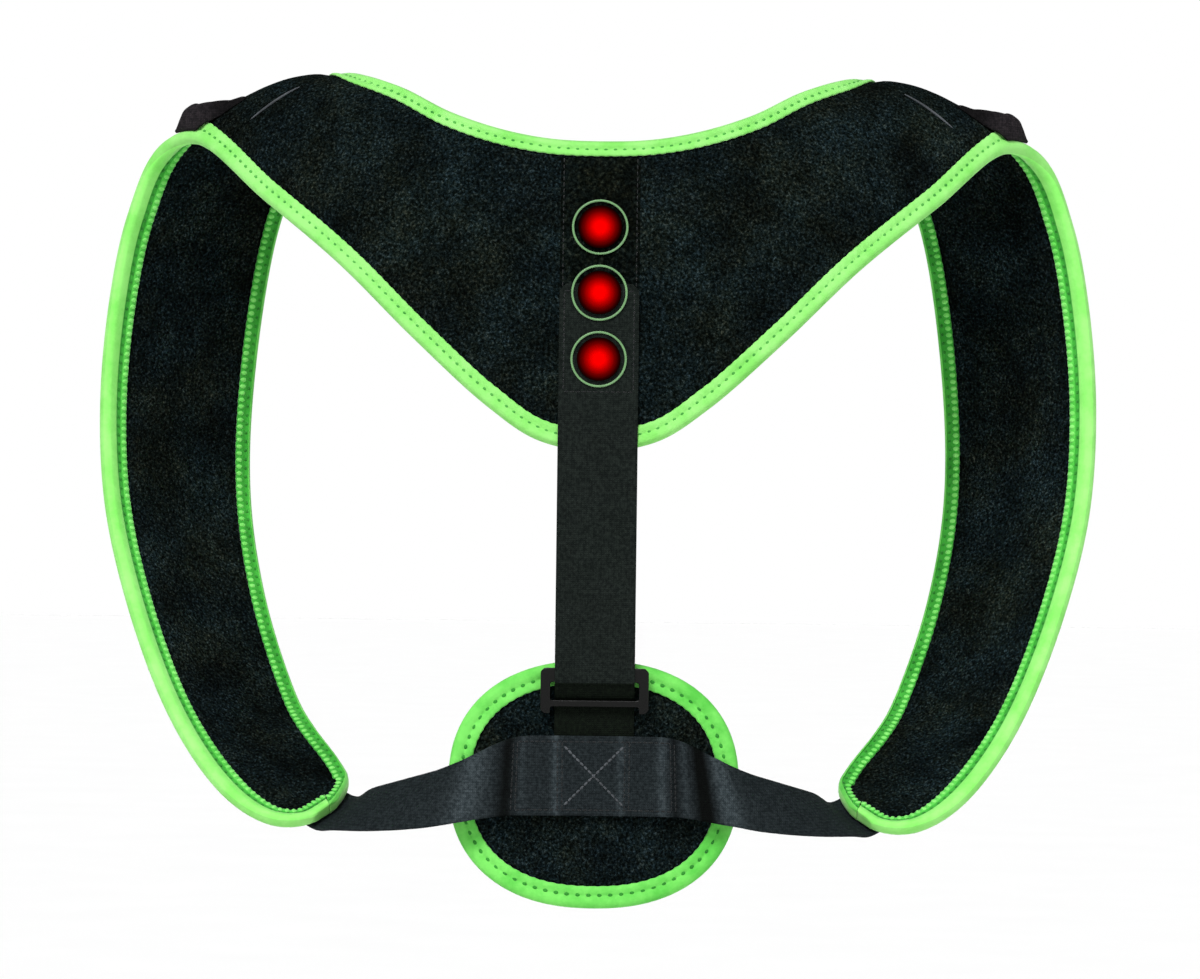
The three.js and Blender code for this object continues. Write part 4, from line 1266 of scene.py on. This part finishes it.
def band_sections():
    start = np.array([0, PAD_FACE - 1.5 * WEB - 2 * GAP - BAND_SLACK, BAND_HEIGHT])
    sewn_rows = np.array([LAST, LAST - 1, LAST - 2], float)
    sewn = off_ribbon(sewn_rows, BAND_SEAT, np.full(3, ON_TAPE + BAND_SLACK + WEB / 2))
    sewn_across = unit(on_edge("neck", sewn_rows) - on_edge("arm", sewn_rows))
    way = sewn[0] - start
    free = start + BAND_ROWS[:, :3] * way
    turn = BAND_ROWS[:, 3:]
    free_across = unit(np.array([0.0, 0, 1]) * (1 - turn) + sewn_across[0] * turn)
    return np.vstack([free, sewn]), np.vstack([free_across, sewn_across])


def evened(rows, reach):
    """Each row as the mean of its neighbours on both sides, so that a turn is spread along the strap."""
    padded = np.concatenate([np.repeat(rows[:1], reach, axis=0), rows, np.repeat(rows[-1:], reach, axis=0)])
    totals = np.cumsum(np.vstack([np.zeros((1, rows.shape[1])), padded]), axis=0)
    return (totals[2 * reach + 1:] - totals[:-2 * reach - 1]) / (2 * reach + 1)


def band_surface():
    """Middle line, directions across and outwards, and painted light and shade, in fine steps along the whole
    band.
    """
    middle, across = (both_halves(rows) for rows in band_sections())
    u = np.linspace(0, len(middle) - 1, BAND_STEPS)
    middles = catmull_rom(middle, u)
    along = unit(evened(np.gradient(middles, axis=0), BAND_EASE))
    across = unit(evened(unit(catmull_rom(across, u)), BAND_EASE))
    out = unit(np.cross(along, across))
    ripple = sum(
        height * np.exp(-(((middles[:, 0] - place * MM) / (spread * MM)) ** 2))
        for place, spread, height in BAND_RIPPLES
    )
    # Painted highlights on the ripples' crests and painted shade in their dips
    painted_light = np.clip(0.5 + RIPPLE_SHADING * ripple, 0, 1)
    return middles + out * ripple[:, None] * RIPPLE_HEIGHT, across, out, painted_light


def lumbar_band():
    """The band across the pad, narrower beside it, with its rows of tacks and its stitched cross."""
    middles, across, out, painted_light = band_surface()
    gathered = 1 - BAND_GATHER * smooth(*GATHER_SPAN, np.abs(middles[:, 0]))
    loops = web_loops(middles, across, out, WEB_WIDTH * gathered, WEB)
    faces = tube_faces(*loops.shape[:2])
    piece = make_piece("lumbar_webbing", loops, faces, [WEB_ACROSS], "lumbar_band")
    set_painted_light(piece, np.repeat(painted_light, loops.shape[1]))

    def stitch_run(x0, z0, x1, z1, size=WEB_STITCH):
        share = np.linspace(0, 1, 60)
        steps = np.arange(len(middles))
        k = np.interp(lerp(x0, x1, share) * MM, middles[:, 0], steps)
        centre, side, normal = (interpolated(k, steps, rows) for rows in (middles, across, out))
        rise = lerp(z0, z1, share)[:, None] * MM
        return web_stitches(centre + side * rise + normal * (WEB / 2), normal, size)

    tacks = [stitch_run(x, -TACK_REACH, x, TACK_REACH) for x in TACK_PLACES]
    tacks += [stitch_run(-TACK_BOX, z, TACK_BOX, z) for z in (-TACK_REACH, TACK_REACH)]
    sewn_piece("band_tack_stitches", tacks, DARK_THREAD)
    cross = [stitch_run(-CROSS_REACH, z, CROSS_REACH, -z, CROSS_STITCH) for z in (-CROSS_REACH, CROSS_REACH)]
    sewn_piece("band_cross_stitches", cross, GREY_THREAD)


# Shoulder tabs

def shoulder_tab(end, name):
    """A hemmed webbing that stands off the cloth in a round arch, low at both of its sides."""
    control = np.column_stack([TAB_PLACES, np.zeros(len(TAB_PLACES))])
    over = np.linspace(0, len(TAB_PLACES) - 1, TAB_STEPS[0])
    t, lift = catmull_rom(control, over)[:, :2, None].swapaxes(0, 1)
    s = np.linspace(*TAB_ROWS, TAB_STEPS[1])
    back = np.linspace(0, 1, len(s))
    width = np.linalg.norm(on_edge("neck", TAB_ROWS[0]) - on_edge("arm", TAB_ROWS[0]))
    from_tape = t * width - BINDINGS["armhole"].outer
    base = lerp(ON_TAPE, ON_CLOTH, np.clip(from_tape / BINDINGS["neck"].outer, 0, 1))
    thick = WEB * (1 + 0.5 * smooth(0, TAB_HEM_STEP, TAB_HEM - (t - t.min()) * width))
    arch = (0.8 + 0.06 * back) * (1 - back**8) * (1 - 0.96 * (1 - back) ** 9)
    rise = (TAB_LIFT * lift * arch)[..., None] * [0, 0, 1]
    round_edge = 0.35 + 0.65 * np.sin(math.pi * back) ** 0.35
    top = off_ribbon(s, t, base + thick * (0.5 + 0.5 * round_edge)) + rise
    low = off_ribbon(s, t, base + thick * (0.5 - 0.5 * round_edge)) + rise
    loops = np.concatenate([top, low[:, ::-1]], axis=1) * [end, 1, 1]
    faces = tube_faces(*loops.shape[:2])
    node = f"shoulder_tab_{name}"
    piece = make_piece(f"{node}_webbing", loops, faces, [WEB_TAB], node)
    # Painted light on the tab: a painted highlight in a strip along it, and painted shade that deepens away
    # from its outer end
    painted_highlight = 0.14 * np.exp(-(((back - 0.3) / 0.08) ** 2))
    shade = lerp(0.68, 0.22, smooth(0.12, 0.26, t)) + painted_highlight
    set_painted_light(piece, np.concatenate([shade, shade[:, ::-1]], axis=1))


# Slider, buttons and rings

def slider():
    """The solid's own form, remeshed finely and smoothed, so that its edges are round as moulded ones are."""
    piece = add_object("slider_frame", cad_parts["slider_buckle"].data.copy())
    remesh = piece.modifiers.new("remesh", "REMESH")
    remesh.mode = "VOXEL"
    remesh.voxel_size = SLIDER_VOXEL
    rounding = piece.modifiers.new("rounding", "SMOOTH")
    rounding.factor = 0.5
    rounding.iterations = SLIDER_ROUNDINGS
    mesh = evaluated_mesh(piece)
    piece.modifiers.clear()
    piece.data = mesh
    mesh.materials.clear()
    mesh.materials.append(PLASTIC)
    mesh.polygons.foreach_set("use_smooth", np.ones(len(mesh.polygons), bool))
    settle(piece, "slider_buckle")


def disc_frame(node):
    """Centre of a round node's base, its axis away from the body, its radius and its height."""
    points = coordinates(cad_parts[node].data)
    low, high = points.min(axis=0), points.max(axis=0)
    middle = (low + high) / 2
    axis = np.linalg.svd(points - points.mean(axis=0))[2][2]
    axis = axis * -np.sign(axis[1])
    heights = (points - middle) @ axis
    radius = np.linalg.norm((points - middle) - heights[:, None] * axis, axis=1).max()
    return middle + axis * heights.min(), axis, radius, heights.max() - heights.min()


def turned(node, profile, closed=False):
    """A round piece about the node's axis from a profile of (share of radius, share of height)."""
    base, axis, radius, height = disc_frame(node)
    side = unit(np.cross(axis, [0, 0, 1]))
    up = np.cross(side, axis)
    turns = np.linspace(0, 2 * math.pi, ROUND_STEPS + 1)[:-1]
    circle = side * np.cos(turns)[:, None] + up * np.sin(turns)[:, None]
    loops = np.array([base + circle * r * radius + axis * h * height for r, h in profile])
    return loops, tube_faces(len(profile), ROUND_STEPS, closed)


def button(i):
    node = f"magnet_button_{i}"
    turns = np.linspace(0, math.pi / 2, 8)
    shoulder = [(0.395 + 0.6 * math.cos(a), 0.55 + 0.45 * math.sin(a)) for a in turns]
    loops, faces = turned(node, [(0.98, 0), *shoulder, (0.2, 1.03), (0.02, 1.05)])
    make_piece(f"red_button_{i}", loops, faces, [RED], node)


def ring(i):
    node = f"magnet_ring_{i}"
    thick = RING_THICKNESS / disc_frame(node)[2]
    turns = np.linspace(0, 2 * math.pi, 13)[:-1]
    section = [(1 - thick + thick * math.cos(a), 0.5 + 0.5 * math.sin(a)) for a in turns]
    loops, faces = turned(node, section, closed=True)
    make_piece(f"pale_ring_{i}", loops, faces, [PALE_RING], node)


# Camera, floor and light

def camera():
    data = bpy.data.cameras.new("camera")
    data.sensor_width = SENSOR_WIDTH
    data.lens = SENSOR_WIDTH * CAMERA_DISTANCE / VIEW_WIDTH
    data.clip_end = FAR_CLIP
    piece = add_object("camera", data)
    piece.location = (CAMERA_SIDE, REFERENCE_DEPTH - CAMERA_DISTANCE, CAMERA_HEIGHT)
    piece.rotation_euler = (math.pi / 2, CAMERA_ROLL, 0)
    bpy.context.scene.camera = piece


def facing(direction):
    return Vector(direction).to_track_quat("-Z", "Y").to_euler()


def side_fill():
    data = bpy.data.lights.new("side_fill", "AREA")
    data.shape = "SQUARE"
    data.size = FILL_SIZE
    data.energy = FILL_POWER
    lamp = add_object("side_fill", data)
    lamp.location = FILL_PLACE
    lamp.rotation_euler = facing(Vector(FILL_TARGET) - Vector(FILL_PLACE))


def sun():
    data = bpy.data.lights.new("sun", "SUN")
    data.energy = SUN_LIGHT
    data.angle = math.radians(SUN_SPREAD)
    add_object("sun", data).rotation_euler = facing(SUN_TRAVEL)


def studio_world():
    """Pale all round at the height of the eye and dimmer overhead, so that the sun shapes the part."""
    world = bpy.data.worlds.new("studio")
    world.use_nodes = True
    tree = world.node_tree
    direction = tree.nodes.new("ShaderNodeTexCoord").outputs["Generated"]
    apart = add_node(tree, "ShaderNodeSeparateXYZ", {0: direction})
    height = add_node(tree, "ShaderNodeMath", {0: apart.outputs["Z"]}, operation="ABSOLUTE")
    sky = ramp(tree, height.outputs[0], [(0.2, grey(1)), (0.5, grey(DOME_LIGHT))])
    tree.links.new(sky, tree.nodes["Background"].inputs["Color"])
    bpy.context.scene.world = world


def pale_floor():
    mesh = bpy.data.meshes.new("floor")
    far = FLOOR_REACH
    corners = [(-far, -far, 0), (far, -far, 0), (far, far, 0), (-far, far, 0)]
    mesh.from_pydata(corners, [], [(0, 1, 2, 3)])
    material, tree, bsdf = shader("pale_floor", 0.9, specular=0.1)
    coloured(tree, bsdf, mixed(tree, noise(tree, object_coordinates(tree), 3), grey(0.93), grey(0.96)))
    mesh.materials.append(material)
    floor = add_object("floor", mesh)
    floor.location.z = FLOOR_HEIGHT


def main():
    camera()
    pale_floor()
    studio_world()
    sun()
    side_fill()
    bpy.context.scene.view_settings.view_transform = "Standard"
    trims = {"armhole": Trim("arm"), "neck": Trim("neck"), "lumbar": PadTrim()}
    for make in (folded_tape, trim_stitches, trim_loops):
        for name, trim in trims.items():
            make(name, trim)
    back_yoke()
    for end, name in ((1, "right"), (-1, "left")):
        shoulder_strap(end, name)
        shoulder_seam(end, name)
        shoulder_tab(end, name)
    centre_strip()
    spine_strap()
    slider()
    lumbar_pad()
    lumbar_band()
    for i in (1, 2, 3):
        button(i)
        ring(i)


main()
